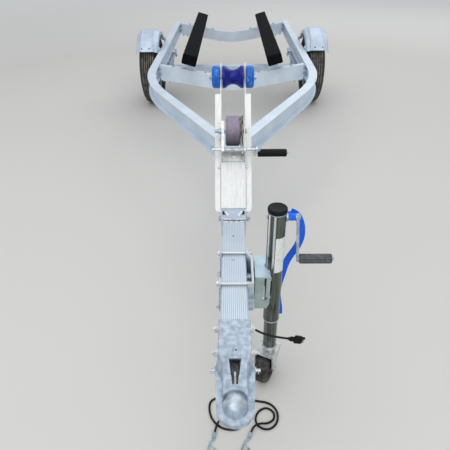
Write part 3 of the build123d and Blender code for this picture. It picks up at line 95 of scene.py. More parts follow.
CRANK_Z, GRIP_Z = 0.657, 0.508
CLAMP_ROWS = (428, 574)  # mm
CASTER_YAW = math.radians(-25)
LAMP_X = 0.470
CORD = 0.007
RIB_PITCH = 5.4  # mm
SHEET = 2.2  # mm


# Helpers for colours, places and meshes

def linear(hex_colour):
    """Turn an sRGB hex colour into linear values with full alpha."""
    channels = [int(hex_colour[i:i + 2], 16) / 255 for i in (1, 3, 5)]
    return [c / 12.92 if c <= 0.04045 else ((c + 0.055) / 1.055) ** 2.4 for c in channels] + [1.0]


def metres(point):
    """A point in millimetres (x, station, height) as metres in the frame."""
    x, station, height = point
    return x * MM, at(station), height * MM


def place_on(origin, normal, turn=0.0):
    """A matrix with its Z along a normal at an origin."""
    base = Vector(normal).normalized().to_track_quat("Z", "Y").to_matrix().to_4x4()
    return Matrix.Translation(origin) @ base @ Matrix.Rotation(turn, 4, "Z")


def spot(x, station, height, normal, turn=0.0):
    """A matrix at a place given in millimetres, with its Z along a normal."""
    return place_on(metres((x, station, height)), normal, turn)


def stand_at(x, reach, rise):
    """A point across, up the leaning stand and out in front of it, in metres."""
    y = STAND_Y + math.sin(STAND_LEAN) * reach - math.cos(STAND_LEAN) * rise
    z = DECK + math.cos(STAND_LEAN) * reach + math.sin(STAND_LEAN) * rise
    return Vector((x, y, z))


def on_stand(x, reach, rise):
    """A matrix at a place on the stand given in millimetres, facing out of it."""
    return place_on(stand_at(x * MM, reach * MM, rise * MM), STAND_OUT)


def along(point, direction, distance, turn=0.0):
    """A matrix at a distance in millimetres along a direction from a point, facing that way."""
    return place_on(point + direction * distance * MM, direction, turn)


def on_axle(side):
    """A matrix at a wheel's middle that turns a spun shape on to the axle."""
    return Matrix.Translation((side * WHEEL_X, AXLE_Y, AXLE_Z)) @ AXLE_TURN


def put(bm, shape, places):
    """Copy a small shape into a mesh once at each place, then drop the shape."""
    mesh = bpy.data.meshes.new("shape")
    shape.to_mesh(mesh)
    shape.free()
    for place in [places] if isinstance(places, Matrix) else places:
        first = len(bm.verts)
        bm.from_mesh(mesh)
        bm.verts.ensure_lookup_table()
        bmesh.ops.transform(bm, matrix=place, verts=bm.verts[first:])
    bpy.data.meshes.remove(mesh)


def dress(name, finish, *parts, body="frame", slot=None, smooth=0.6):
    """Join shapes, bare or with their places, into a piece with a finish, on a body; slot is not used."""
    bm = bmesh.new()
    for part in parts:
        shape, places = part if isinstance(part, tuple) else (part, Matrix())
        put(bm, shape, places)
    bmesh.ops.remove_doubles(bm, verts=bm.verts, dist=1e-6)
    bmesh.ops.recalc_face_normals(bm, faces=bm.faces)
    mesh = bpy.data.meshes.new(name)
    bm.to_mesh(mesh)
    bm.free()
    mesh.materials.append(FINISHES[finish])
    piece = bpy.data.objects.new(name, mesh)
    bpy.context.scene.collection.objects.link(piece)
    for polygon in mesh.polygons:
        polygon.use_smooth = True
    mesh.set_sharp_from_angle(angle=smooth)
    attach(piece, body)
    return piece


def mirrored(half):
    """A profile's upper half with its mirror image below it."""
    return half + [(radius, -height) for radius, height in reversed(half) if height]


def turned(profile, steps=24, closed=False, angle=math.tau):
    """A line of (radius, height) pairs in millimetres, spun about Z."""
    shape = bmesh.new()
    line = [shape.verts.new((radius * MM, 0, height * MM)) for radius, height in profile]
    pairs = list(zip(line, line[1:])) + ([(line[-1], line[0])] if closed else [])
    edges = [shape.edges.new(pair) for pair in pairs]
    bmesh.ops.spin(shape, geom=line + edges, cent=(0, 0, 0), axis=UP, angle=angle, steps=steps,
                   use_merge=angle == math.tau)
    bmesh.ops.remove_doubles(shape, verts=shape.verts, dist=1e-6)
    bmesh.ops.recalc_face_normals(shape, faces=shape.faces)
    return shape


def arc_of(profile, steps, degrees):
    """A closed profile spun part of the way about Z, with its two ends filled."""
    shape = turned(profile, steps, closed=True, angle=math.radians(degrees))
    bmesh.ops.holes_fill(shape, edges=[e for e in shape.edges if e.is_boundary], sides=0)
    return shape


def ring(bore, radius, height, steps=24):
    """A flat ring standing on Z = 0."""
    return turned([(bore, 0), (radius, 0), (radius, height), (bore, height)], steps, closed=True)


def raised(made):
    """The vertices among what an extrusion made."""
    return [item for item in made["geom"] if isinstance(item, bmesh.types.BMVert)]


def plate(outline, thick):
    """A flat plate: an outline of (x, y) pairs in millimetres, drawn up from Z = 0."""
    shape = bmesh.new()
    face = shape.faces.new([shape.verts.new((x * MM, y * MM, 0)) for x, y in outline])
    top = raised(bmesh.ops.extrude_face_region(shape, geom=[face]))
    bmesh.ops.translate(shape, verts=top, vec=(0, 0, thick * MM))
    bmesh.ops.recalc_face_normals(shape, faces=shape.faces)
    return shape


def block(width, length, height):
    """A rectangular bar centred on Z, standing on Z = 0."""
    half, long = width / 2, length / 2
    return plate([(-half, -long), (half, -long), (half, long), (-half, long)], height)


def rounded(shape, radius, segments=3):
    """Round every sharp edge of a shape."""
    sharp = [edge for edge in shape.edges if edge.is_manifold and edge.calc_face_angle() > 0.5]
    bmesh.ops.bevel(shape, geom=sharp, offset=radius * MM, segments=segments, profile=0.5, material=-1,
                    affect="EDGES", clamp_overlap=True)
    return shape


def round_curve(name, points, radius, resolution, sides, order=3):
    """A round NURBS curve through points in millimetres (x, station, height)."""
    curve = bpy.data.curves.new(name, "CURVE")
    curve.dimensions = "3D"
    curve.resolution_u = resolution
    curve.bevel_depth = radius
    curve.bevel_resolution = sides
    curve.use_fill_caps = True
    spline = curve.splines.new("NURBS")
    spline.points.add(len(points) - 1)
    for point, place in zip(spline.points, points):
        point.co = (*metres(place), 1.0)
    spline.order_u = order
    spline.use_endpoint_u = True
    return curve


def bent_rod(points, radius, smooth=True):
    """A round rod through points in millimetres, as a shape."""
    curve = round_curve("rod", points, radius * MM, 5, 3, 3 if smooth else 2)
    holder = bpy.data.objects.new("rod", curve)
    mesh = bpy.data.meshes.new_from_object(holder)
    shape = bmesh.new()
    shape.from_mesh(mesh)
    bpy.data.objects.remove(holder)
    bpy.data.curves.remove(curve)
    bpy.data.meshes.remove(mesh)
    return shape


def ribbed_grip(radius, length, ribs, depth):
    """A moulded grip along Z with long ridges, a collar and a rounded end."""
    corners = []
    for i in range(ribs * 4):
        size = radius - (depth if i % 4 in (2, 3) else 0)
        angle = math.tau * i / (ribs * 4)
        corners.append((size * math.cos(angle), size * math.sin(angle)))
    shape = rounded(plate(corners, length - 10), 0.25, 1)
    bmesh.ops.translate(shape, verts=shape.verts, vec=(0, 0, 5 * MM))
    collar = [(5.3, 0), (radius - 1.5, 0), (radius, 1.2), (radius, 5), (radius - 0.8, 6), (5.3, 6)]
    put(shape, turned(collar, 40, closed=True), Matrix())
    end = [(0, 0), (radius - 4, 0), (radius - 1.5, -0.8), (radius - 0.4, -2.4), (radius - 0.2, -6), (0, -6)]
    put(shape, turned(end, 40), Matrix.Translation((0, 0, length * MM)))
    return shape


# Fasteners, in millimetres, standing on Z = 0

def hex_head(across, height, washer=0.0):
    """A hexagon head with a turned washer face and a chamfered crown."""
    radius, lift = across / math.sqrt(3), 1.6 if washer else 0.0
    corners = [(radius * math.cos(math.tau * i / 6), radius * math.sin(math.tau * i / 6)) for i in range(6)]
    shape = bmesh.new()
    put(shape, rounded(plate(corners, height), 0.7, 2), Matrix.Translation((0, 0, lift * MM)))
    if washer:
        face = [(0, lift), (washer - 0.4, lift), (washer, lift - 0.4), (washer, 0), (0, 0)]
        put(shape, turned(face, 20), Matrix())
    return shape


def nut(across, height, thread, washer=0.0, past=4.0):
    """A nut on its washer, with the end of the thread standing out of it."""
    shape = hex_head(across, height, washer)
    top = height + (1.6 if washer else 0)
    coils = [(thread, top - 1)]
    for step in range(int(past)):
        coils += [(thread, top + step + 0.4), (thread - 0.6, top + step + 0.9)]
    coils += [(thread - 1.4, top + past), (0, top + past)]
    put(shape, turned(coils, 14), Matrix())
    return shape


def dome_head(radius, height):
    """A carriage bolt's or rivet's low round head."""
    arc = [(radius * math.sin(a), height * math.cos(a)) for a in (0.0, 0.4, 0.8, 1.15, 1.4, math.pi / 2)]
    return turned([(0, height)] + arc[1:] + [(radius, 0)], 18)


def bead(points, radius, seed):
    """A row of overlapping weld ripples along points in millimetres (x, station, height)."""
    draw = random.Random(seed)
    shape = bmesh.new()
    for start, end in zip(points, points[1:]):
        start, end = Vector(start), Vector(end)
        count = max(1, round((end - start).length / (radius * 0.8)))
        for step in range(count):
            here = start.lerp(end, (step + 0.5) / count)
            lump = bmesh.new()
            bmesh.ops.create_icosphere(lump, subdivisions=2, radius=radius * draw.uniform(0.85, 1.15) * MM)
            here = [part + draw.uniform(-0.12, 0.12) * radius for part in here]
            put(shape, lump, Matrix.Translation(metres(here)))
    return shape


# Materials

class Recipe:
    """A material in the making: its nodes, its surface shader and its Object coordinates."""

    def __init__(self, name, colour, metallic, roughness):
        self.material = bpy.data.materials.new(name)
        self.material.use_nodes = True
        self.tree = self.material.node_tree
        self.shader = self.tree.nodes["Principled BSDF"]
        self.place = self.add("TexCoord", output="Object")
        self.colour = colour
        self.set({"Base Color": colour, "Metallic": metallic, "Roughness": roughness})

    def set(self, inputs, node=None):
        """Link or set a node's inputs, by default the shader's; a text is a hex colour."""
        for key, value in inputs.items():
            socket = (node or self.shader).inputs[key]
            if isinstance(value, bpy.types.NodeSocket):
                self.tree.links.new(value, socket)
            else:
                socket.default_value = linear(value) if isinstance(value, str) else value

    def add(self, kind, inputs=None, output=0, **properties):
        """Add one node with its properties and inputs, and give one of its outputs."""
        node = self.tree.nodes.new("ShaderNode" + kind)
        for key, value in properties.items():
            setattr(node, key, value)
        self.set(inputs or {}, node)
        return node.outputs[output]

    def patches(self, size_mm, detail=3.0, levels=None, result=(0.0, 1.0), stretch=(1, 1, 1)):
        """Patches of about a real size, or their part between two levels drawn out to a range."""
        scale = [1 / (size_mm * MM) / s for s in stretch]
        sized = self.add("Mapping", {"Vector": self.place, "Scale": scale})
        lumps = self.add("TexNoise", {"Vector": sized, "Scale": 1.0, "Detail": detail}, "Fac")
        if levels is None:
            return lumps
        return self.add("MapRange", {"Value": lumps, "From Min": levels[0], "From Max": levels[1],
                                     "To Min": result[0], "To Max": result[1]})

    def grain(self, size_mm, depth_mm, strength, detail=3.0, stretch=(1, 1, 1)):
        """Roughen the surface with lumps of a real size and depth."""
        lumps = self.patches(size_mm, detail, stretch=stretch)
        relief = {"Height": lumps, "Distance": depth_mm * MM, "Strength": strength}
        self.set({"Normal": self.add("Bump", relief)})

    def cover(self, *layers):
        """Lay further colours over the surface's own, each by its own factor."""
        for factor, colour in layers:
            self.colour = self.add("Mix", {"Factor": factor, 6: self.colour, 7: colour}, 2, data_type="RGBA")
        self.set({"Base Color": self.colour})


def mill_aluminium(settings, name="mill_aluminium"):
    """Extruded aluminium left bare: faint die lines along it and a pale, uneven oxide."""
    bare = Recipe(name, settings.aluminium_colour, 0.25, 0.45)
    cloud = bare.patches(90, 5.0)
    oxide = bare.add("MapRange", {"Value": cloud, "From Min": 0.3, "From Max": 0.7})
    bare.cover((oxide, "#DDE9F4"), (bare.patches(5, 4.0, (0.68, 0.74), (0.0, 0.35)), "#A9AAA6"))
    bare.set({"Roughness": bare.add("MapRange", {"Value": cloud, "To Min": 0.34, "To Max": 0.52})})
    bare.grain(3, 0.12, 0.3, 2.0, (1, 60, 1))
    return bare


def ribbed_aluminium(settings):
    """The tongue's bare extrusion: pale ribs on its top, with the grooves between them painted darker."""
    bare = mill_aluminium(settings, "ribbed_aluminium")
    across = bare.add("SeparateXYZ", {"Vector": bare.place}, "X")
    phase = bare.add("Math", {0: across, 1: math.tau / (RIB_PITCH * MM)}, operation="MULTIPLY")
    wave = bare.add("Math", {0: phase}, operation="COSINE")
    # the grooves between the ribs are painted darker, on the top face only
    darker_grooves = bare.add("MapRange", {"Value": wave, "From Min": 0.75, "From Max": -0.75})
    top = bare.add("MapRange", {"Value": across.node.outputs["Z"], "From Min": DECK - 2 * MM,
                                "From Max": DECK - 1 * MM, "To Max": 0.42})
    bare.cover((bare.add("Math", {0: darker_grooves, 1: top}, operation="MULTIPLY"), "#8E979F"))
    return bare


def greased_steel(settings):
    """Winch gear steel under old grease: grey-brown faces, black in the tooth roots."""
    gear = Recipe("greased_steel", "#3F3833", 0.5, 0.4)
    gear.cover((gear.patches(7, 5.0, (0.35, 0.65)), "#A79E92"))
    return gear


def dark_steel(settings):
    """Latch steel gone dull and dark with road film, inside the coupler."""
    latch = Recipe("dark_steel", "#2E2F30", 0.6, 0.5)
    latch.cover((latch.patches(6, 5.0, (0.35, 0.7)), "#6A6C6C"))
    return latch


def galvanised(settings):
    """Hot-dip galvanised steel: matte pale zinc in soft crystals some 10 mm across."""
    dipped = Recipe("galvanised_steel", settings.galvanised_colour, 0.4, 0.5)
    crystal = dipped.add("TexVoronoi", {"Vector": dipped.place, "Scale": 1 / (10 * MM)}, "Color")
    shade = dipped.add("SeparateColor", {"Color": crystal}, "Red")
    tint = dipped.add("MapRange", {"Value": shade, "To Min": 0.35, "To Max": 0.6})
    both = dipped.add("Math", {0: tint, 1: dipped.patches(60, 4.0)}, operation="ADD")
    dipped.cover((dipped.add("MapRange", {"Value": both, "From Min": 0.7, "From Max": 1.3}), "#D2DFEF"))
    dipped.set({"Roughness": dipped.add("MapRange", {"Value": shade, "To Min": 0.42, "To Max": 0.54})})
    dipped.grain(5, 0.15, 0.2)
    return dipped


def pale_zinc(settings):
    """Fresh galvanised sheet on the winch stand: nearly white, with faint runs and scuffs."""
    sheet = Recipe("pale_zinc", "#DBDEE0", 0.2, 0.48)
    runs = sheet.patches(9, 5.0, stretch=(1, 5, 5))
    pale = sheet.add("MapRange", {"Value": runs, "From Min": 0.3, "From Max": 0.7})
    sheet.cover((pale, "#F1F0EB"), (sheet.patches(7, 6.0, (0.62, 0.76), (0.0, 0.5)), "#B4B7B6"))
    sheet.set({"Roughness": sheet.add("MapRange", {"Value": runs, "To Min": 0.38, "To Max": 0.55})})
    sheet.grain(4, 0.12, 0.2)
    return sheet


def zinc_plate(settings, name="zinc_plate"):
    """Bright zinc electroplate on pressed steel: bluish white, mottled and worn by weather."""
    plated = Recipe(name, settings.zinc_colour, 0.6, 0.36)
    mottle = plated.patches(16, 7.0)
    pale = plated.add("MapRange", {"Value": mottle, "From Min": 0.35, "From Max": 0.65})
    plated.cover((pale, "#C2D0DE"), (plated.patches(3.5, 5.0, (0.6, 0.72), (0.0, 0.6)), "#8D9291"))
    plated.set({"Roughness": plated.add("MapRange", {"Value": mottle, "From Min": 0.3, "From Max": 0.7,
                                                     "To Min": 0.46, "To Max": 0.3})})
    plated.grain(4, 0.12, 0.25)
    return plated


def clamp_zinc(settings):
    """The jack's clamp: weathered plates beside the tongue, and bars over it painted brighter as painted light.
    """
    plated = zinc_plate(settings, "clamp_zinc")
    height = plated.add("SeparateXYZ", {"Vector": plated.place}, "Z")
    # painted light: the clamp is paler above the deck, where its bars lie over the tongue
    over = plated.add("MapRange", {"Value": height, "From Min": DECK - 1 * MM, "From Max": DECK + 1 * MM})
    plated.cover((over, "#CDD2D4"))
    return plated


def bright_zinc(settings):
    """Newer zinc plate on the winch, bolts and caster's fork: neutral and bright, a little scuffed."""
    plated = Recipe("bright_zinc", "#B4B9BA", 0.65, 0.36)
    mottle = plated.patches(10, 5.0)
    plated.cover((plated.add("MapRange", {"Value": mottle, "From Min": 0.35, "From Max": 0.65}), "#E4E7E6"))
    plated.set({"Roughness": plated.add("MapRange", {"Value": mottle, "To Min": 0.28, "To Max": 0.44})})
    plated.grain(4, 0.1, 0.2)
    return plated


def polished_zinc(settings):
    """The jack: a drawn tube plated clear, near a mirror, painted dark as a painted reflection of dark ground,
    beside its box of paler zinc.

    Two painted highlights run down the tube as bright streaks; away from its axis the plate is the box's,
    painted paler and bluer on its lid as painted light, and greener and darker on its sides as painted shade.
    """
    # painted reflection: the tube's dark base colour stands for dark ground mirrored in it
    jack = Recipe("polished_zinc", "#4A4E4B", 1.0, 0.2)
    runs = jack.patches(4, 2.0, stretch=(1, 1, 30))
    jack.cover((jack.add("MapRange", {"Value": runs, "From Min": 0.3, "From Max": 0.75}), "#7A807C"))
    side = jack.add("SeparateXYZ", {"Vector": jack.place}, "X")
    height = side.node.outputs["Z"]
    high = jack.add("MapRange", {"Value": height, "From Min": 0.455, "From Max": 0.52})
    # painted highlights: two pale streaks down the upper tube stand for a lamp's glint
    for middle, half_width in ((-7.5, 2.6), (-22.5, 1.6)):
        off = jack.add("Math", {0: side, 1: JACK_X + middle * MM}, operation="SUBTRACT")
        away = jack.add("Math", {0: off}, operation="ABSOLUTE")
        near = jack.add("MapRange", {"Value": away, "From Min": half_width * 1.5 * MM,
                                     "From Max": half_width * 0.6 * MM})
        jack.cover((jack.add("Math", {0: near, 1: high}, operation="MULTIPLY"), "#F4F6EF"))

    # painted light and shade on the box: its lid paler and bluer, its sides greener and darker
    cloud = jack.patches(40, 4.0, (0.3, 0.7))
    walls, lid = [jack.add("Mix", {"Factor": cloud, 6: low, 7: pale}, 2, data_type="RGBA")
                  for low, pale in (("#98ABA6", "#B6C6C1"), ("#AFC5D5", "#CADCE8"))]
    up = jack.add("MapRange", {"Value": height, "From Min": JACK_LID, "From Max": JACK_LID + 0.8 * MM})
    flat = jack.add("VectorMath", {0: jack.place, 1: (1, 1, 0)}, operation="MULTIPLY")
    radius = jack.add("VectorMath", {0: flat, 1: (JACK_X, JACK_Y, 0)}, "Value", operation="DISTANCE")
    box = jack.add("MapRange", {"Value": radius, "From Min": 0.0268, "From Max": 0.0272})
    jack.cover((box, jack.add("Mix", {"Factor": up, 6: walls, 7: lid}, 2, data_type="RGBA")))
    jack.set({"Roughness": jack.add("MapRange", {"Value": box, "To Min": 0.2, "To Max": 0.42}),
              "Metallic": jack.add("MapRange", {"Value": box, "To Min": 0.95, "To Max": 0.4}),
              "Normal": jack.add("Bump", {"Height": runs, "Distance": 0.05 * MM, "Strength": 0.2})})
    return jack


def drawn_zinc(settings):
    """The coupler's dome, drawn smooth and burnished by use: a soft mirror under thin zinc."""
    dome = Recipe("drawn_zinc", "#A3ADB6", 0.6, 0.36)
    cloud = dome.patches(18, 5.0)
    dome.cover((dome.add("MapRange", {"Value": cloud, "From Min": 0.3, "From Max": 0.7}), "#D9E2EA"))
    dome.set({"Roughness": dome.add("MapRange", {"Value": cloud, "To Min": 0.32, "To Max": 0.42})})
    return dome


def seam_shade_and_dust(settings):
    """The open joint between the stand's pieces: grey shadow with dust in it."""
    seam = Recipe("seam_shade_and_dust", "#6B7076", 0.1, 0.7)
    seam.cover((seam.patches(6, 4.0, (0.3, 0.7)), "#A7ADB3"))
    return seam


def shadow_gap(settings):
    """Black sheet laid over a bare hole or joint as painted shade, faintly mottled."""
    gap = Recipe("painted_shade_black", "#050505", 0.0, 0.9)
    gap.cover((gap.patches(2), "#1B1917"))
    return gap


def brass(settings):
    """Turned brass contacts, tarnished a little."""
    contact = Recipe("contact_brass", "#8E6E35", 1.0, 0.3)
    contact.cover((contact.patches(3), "#D2AC63"))
    return contact


def blank_sticker(settings):
    """Matte white polyester film, left blank, with a little grime at its edges."""
    film = Recipe("blank_film", "#E9ECEA", 0.0, 0.55)
    film.cover((film.patches(9, 6.0, (0.5, 0.8)), "#C9CCC8"))
    return film


def tyre_rubber(settings):
    """Carbon-black tyre rubber, browned by dust on the tread's rib tops, its grooves kept dark as painted shade
    and its sidewalls barely dusty.
    """
    rubber = Recipe("tyre_rubber", "#101011", 0.0, 0.75)
    flat = rubber.add("VectorMath", {0: rubber.place, 1: (0, 1, 1)}, operation="MULTIPLY")
    radius = rubber.add("VectorMath", {0: flat, 1: (0, AXLE_Y, AXLE_Z)}, "Value", operation="DISTANCE")
    # dust mostly on the rib tops, barely any in the grooves: the dark grooves are painted shade
    worn = rubber.add("MapRange", {"Value": radius, "From Min": 0.2805, "From Max": 0.2845, "To Min": 0.12})
    dust = rubber.patches(35, 6.0, (0.35, 0.72), (0.25, 1.0))
    rubber.cover((rubber.add("Math", {0: dust, 1: worn}, operation="MULTIPLY"), "#7C776F"))
    rubber.grain(1.5, 0.15, 0.3)
    return rubber


def needled_carpet(settings):
    """Black needle-punched marine carpet: matted short fibres, drawn 3 mm across to show."""
    carpet = Recipe("needled_carpet", settings.carpet_colour, 0.0, 0.97)
    fibre = carpet.patches(3, 8.0, stretch=(1, 1.6, 1))
    both = carpet.add("Math", {0: fibre, 1: carpet.patches(70, 4.0)}, operation="MULTIPLY")
    carpet.cover((carpet.add("MapRange", {"Value": both, "From Min": 0.14, "From Max": 0.42}), "#14161C"))
    carpet.set({"Specular IOR Level": 0.15,
                "Normal": carpet.add("Bump", {"Height": fibre, "Distance": 1.2 * MM, "Strength": 0.8})})
    return carpet


def moulded_plastic(name, colour, roughness, dusty, shine=0.5):
    """Moulded plastic with a fine spark-eroded grain and dust in it."""
    plastic = Recipe(name, colour, 0.0, roughness)
    plastic.cover((plastic.patches(12, 6.0, (0.5, 0.9)), dusty))
    plastic.set({"Specular IOR Level": shine})
    plastic.grain(1.2, 0.08, 0.3)
    return plastic


def roller_rubber(name, colour, worn):
    """Blue moulded keel-roller rubber: deep, glossy, scuffed paler where a bow has rubbed."""
    rubber = Recipe(name, colour, 0.0, 0.3)
    rubber.cover((rubber.patches(14, 6.0, (0.55, 0.8)), worn))
    rubber.set({"Specular IOR Level": 0.25, "Coat Weight": 0.08, "Coat Roughness": 0.15})
    rubber.grain(3, 0.1, 0.2)
    return rubber


def woven_strap(name, low, high, axis, lower_shade=()):
    """Woven strap: ribs 2 mm apart across it, drawn coarser than life to show; darkened lower down with painted
    shade when given heights and a colour for it.
    """
    strap = Recipe(name, low, 0.0, 0.75)
    pitch = math.pi / 10 / (2.0 * MM)
    ribs = strap.add("TexWave", {"Vector": strap.place, "Scale": pitch, "Distortion": 1.0}, "Fac",
                     bands_direction=axis)
    both = strap.add("Math", {0: ribs, 1: strap.patches(8, 5.0)}, operation="MULTIPLY")
    strap.cover((strap.add("MapRange", {"Value": both, "From Min": 0.1, "From Max": 0.6}), high))
    # painted shade: the strap darkens towards the bottom, between two heights
    if lower_shade:
        shade_start, shade_full, shade_colour = lower_shade
        height = strap.add("SeparateXYZ", {"Vector": strap.place}, "Z")
        painted_shade = strap.add("MapRange", {"Value": height, "From Min": shade_start, "From Max": shade_full, "To Max": 0.85})
        strap.cover((painted_shade, shade_colour))
    strap.set({"Normal": strap.add("Bump", {"Height": ribs, "Distance": 0.3 * MM, "Strength": 0.4})})
    return strap


def lamp_lens(settings):
    """Moulded red acrylic in 4 mm prisms over a dark case."""
    lens = Recipe("lamp_lens", "#B81712", 0.0, 0.12)
    cells = {"Vector": lens.place, "Scale": 1 / (4 * MM), "Randomness": 0.0}
    prisms = lens.add("TexVoronoi", cells, "Distance", distance="CHEBYCHEV")
    lens.cover((prisms, "#6E0C0A"))
    lens.set({"Coat Weight": 0.5,
              "Normal": lens.add("Bump", {"Height": prisms, "Distance": 0.5 * MM, "Strength": 0.4})})
    return lens


def black_paint(settings):
    """Black gloss paint on a cast hub, with road dust on it."""
    paint = Recipe("black_paint", "#121214", 0.0, 0.3)
    paint.cover((paint.patches(20, 5.0, (0.5, 0.85)), "#3B3835"))
    paint.grain(4, 0.1, 0.2)
    return paint


FINISHES = {}

SLOT_MAKERS = {
    "bare_aluminium": mill_aluminium,
    "galvanised_steel": galvanised,
    "zinc_plate": zinc_plate,
    "black_paint": black_paint,
    "grey_carpet": needled_carpet,
    "tyre_rubber": tyre_rubber,
    "blue_roller": lambda settings: roller_rubber("roller_rubber", settings.roller_colour, "#0B3EA4"),
    # the wound strap gets painted shade below 768 mm, full at 705 mm
    "grey_webbing": lambda settings: woven_strap("winch_webbing", "#776D7E", "#B8AEC2", "X",
                                                 (0.768, 0.705, "#221D1E")),
    "blue_webbing": lambda settings: woven_strap("tie_webbing", "#0A55E0", "#2A86FF", "Z"),
    "black_plastic": lambda settings: moulded_plastic("black_nylon", "#06080C", 0.5, "#14171D", 0.2),
    "grey_plastic": lambda settings: moulded_plastic("grey_nylon", "#47474D", 0.38, "#77777F"),
    "black_coat": lambda settings: moulded_plastic("black_vinyl", "#070708", 0.35, "#1A1A1D", 0.3),
    "red_lens": lamp_lens,
    "ribbed_aluminium": ribbed_aluminium,
    # a paler copy of the roller rubber for the end rollers: partly their faded colour, partly painted light
    "faded_and_lit_roller": lambda settings: roller_rubber("faded_and_lit_roller", "#1660C0", "#6AABE4"),
    "dusty_roller": lambda settings: moulded_plastic("dusty_roller", "#232122", 0.5, "#7A716A"),
    "greased_steel": greased_steel,
    "dark_steel": dark_steel,
    "pale_zinc": pale_zinc,
    "bright_zinc": bright_zinc,
    "clamp_zinc": clamp_zinc,
    "polished_zinc": polished_zinc,
    "drawn_zinc": drawn_zinc,
    "seam_shade_and_dust": seam_shade_and_dust,
    "painted_shade_black": shadow_gap,
    "contact_brass": brass,
    "blank_film": blank_sticker,
}

# Nodes whose finish differs from the others of their slot
NODE_FINISHES = {
    "stand_legs": "pale_zinc",
    "stand_panel": "pale_zinc",
    "winch_frame": "bright_zinc",
    "winch_crank": "bright_zinc",
    "coupler_bolts": "bright_zinc",
    "jack_clamp": "clamp_zinc",
    "caster_fork": "bright_zinc",
    "jack_body": "polished_zinc",
    "jack_leg": "polished_zinc",
    "tongue_tube": "ribbed_aluminium",
    "winch_gear": "greased_steel",
    "coupler_latch": "dark_steel",
}


# Cord routes, in millimetres: x, station, height
REST = 3.7
FERRULE = 5.8
CABLE_LEFT = [
    (-19, 408, 377.5), (-22, 410, 322), (-25, 418, 246), (-22, 428, 166),
    (-17, 424, 92), (-12, 405, 36), (-2, 372, 7), (20, 334, REST),
    (28, 305, REST), (20, 283, REST), (-6, 275, REST),
    (-36, 280, REST), (-60, 296, REST), (-77, 321, REST),
    (-84, 352, REST), (-82, 376, REST), (-67, 391, REST),
    (-46, 391, REST), (-30, 376, REST), (-31, 350, REST), (-41, 322, 8),
    (-49, 303, 13.5), (-57, 286, 13), (-62, 270, FERRULE), (-65, 252, FERRULE),
]
CABLE_RIGHT = [
    (19, 408, 377.5), (23, 410, 320), (25, 418, 244), (22, 428, 164),
    (20, 424, 96), (30, 404, 38), (52, 384, REST), (84, 380, REST),
    (116, 374, REST), (139, 352, REST), (144, 322, REST), (134, 293, REST),
    (108, 276, REST), (80, 284, REST), (66, 309, REST), (76, 339, REST),
    (98, 355, REST), (118, 352, REST), (132, 335, REST), (129, 312, REST),
    (107, 297, 6),
    (83, 293, 13.5), (63, 285, 13), (53, 270, FERRULE), (47, 253, FERRULE),
]
LEAD = [
    (14, 460, 401.8), (15, 459, 378), (20, 455, 352),
    (30, 449, 326), (44, 443, 305), (64, 436, 289), (88, 432, 277), (117, 430, 267),
    (147, 430, 259), (177, 431, 253),
]


def lay_cord(name, route):
    """A smooth coated cord along a route, as a bevelled NURBS curve."""
    curve = round_curve(name, route, CORD / 2, 8, 4)
    curve.materials.append(FINISHES["black_coat"])
    cord = bpy.data.objects.new(name, curve)
    bpy.context.scene.collection.objects.link(cord)
    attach(cord, "frame")
    return cord


class TrailerFinish(bpy.types.PropertyGroup):
    """Colours of the trailer's finishes, as sRGB hex values."""

    aluminium_colour: bpy.props.StringProperty(
        name="Aluminium", description="Bare extruded aluminium at its darkest", default="#CDDBE9")
    galvanised_colour: bpy.props.StringProperty(
        name="Galvanised steel", description="Hot-dip zinc at its darkest, on the axle and fenders",
        default="#B9C8DA")
    zinc_colour: bpy.props.StringProperty(
        name="Zinc plate", description="Plate at its darkest, on the coupler and clamp", default="#97A6B5")
    carpet_colour: bpy.props.StringProperty(
        name="Carpet", description="Marine carpet at its darkest, on the bunks", default="#040507")
    roller_colour: bpy.props.StringProperty(
        name="Roller", description="Bow and keel roller rubber", default="#00167E")
    tyre_steps: bpy.props.IntProperty(
        name="Tyre steps", description="Steps round a tyre, a multiple of three", default=120, min=60)


class TrailerStage(bpy.types.PropertyGroup):
    """Floor, light and camera of the stage."""

    floor_colour: bpy.props.StringProperty(
        name="Floor", description="Plain pale floor", default="#D2D1CD")
    key_power: bpy.props.FloatProperty(
        name="Key light", description="Power of the large soft lamp overhead", default=172.0, unit="POWER")
    camera_height: bpy.props.FloatProperty(
        name="Camera height", description="Height of the lens above the floor", default=1.345, unit="LENGTH")
    camera_pitch: bpy.props.FloatProperty(
        name="Camera pitch", description="How far the camera looks down",
        default=math.radians(33.73), subtype="ANGLE")


class OBJECT_OT_trailer_finishes(bpy.types.Operator):
    """Make every finish and put it on the frame's nodes"""

    bl_idname = "object.trailer_finishes"
    bl_label = "Finish the frame"

    def execute(self, context):
        for slot, maker in SLOT_MAKERS.items():
            FINISHES[slot] = maker(context.scene.trailer_finish).material
        for row in frame["record"]["subparts"]:
            node = frame["nodes"][row["node"]]
            node.data.materials.clear()
            node.data.materials.append(FINISHES[NODE_FINISHES.get(row["node"], row["material_slot"])])
        return {"FINISHED"}


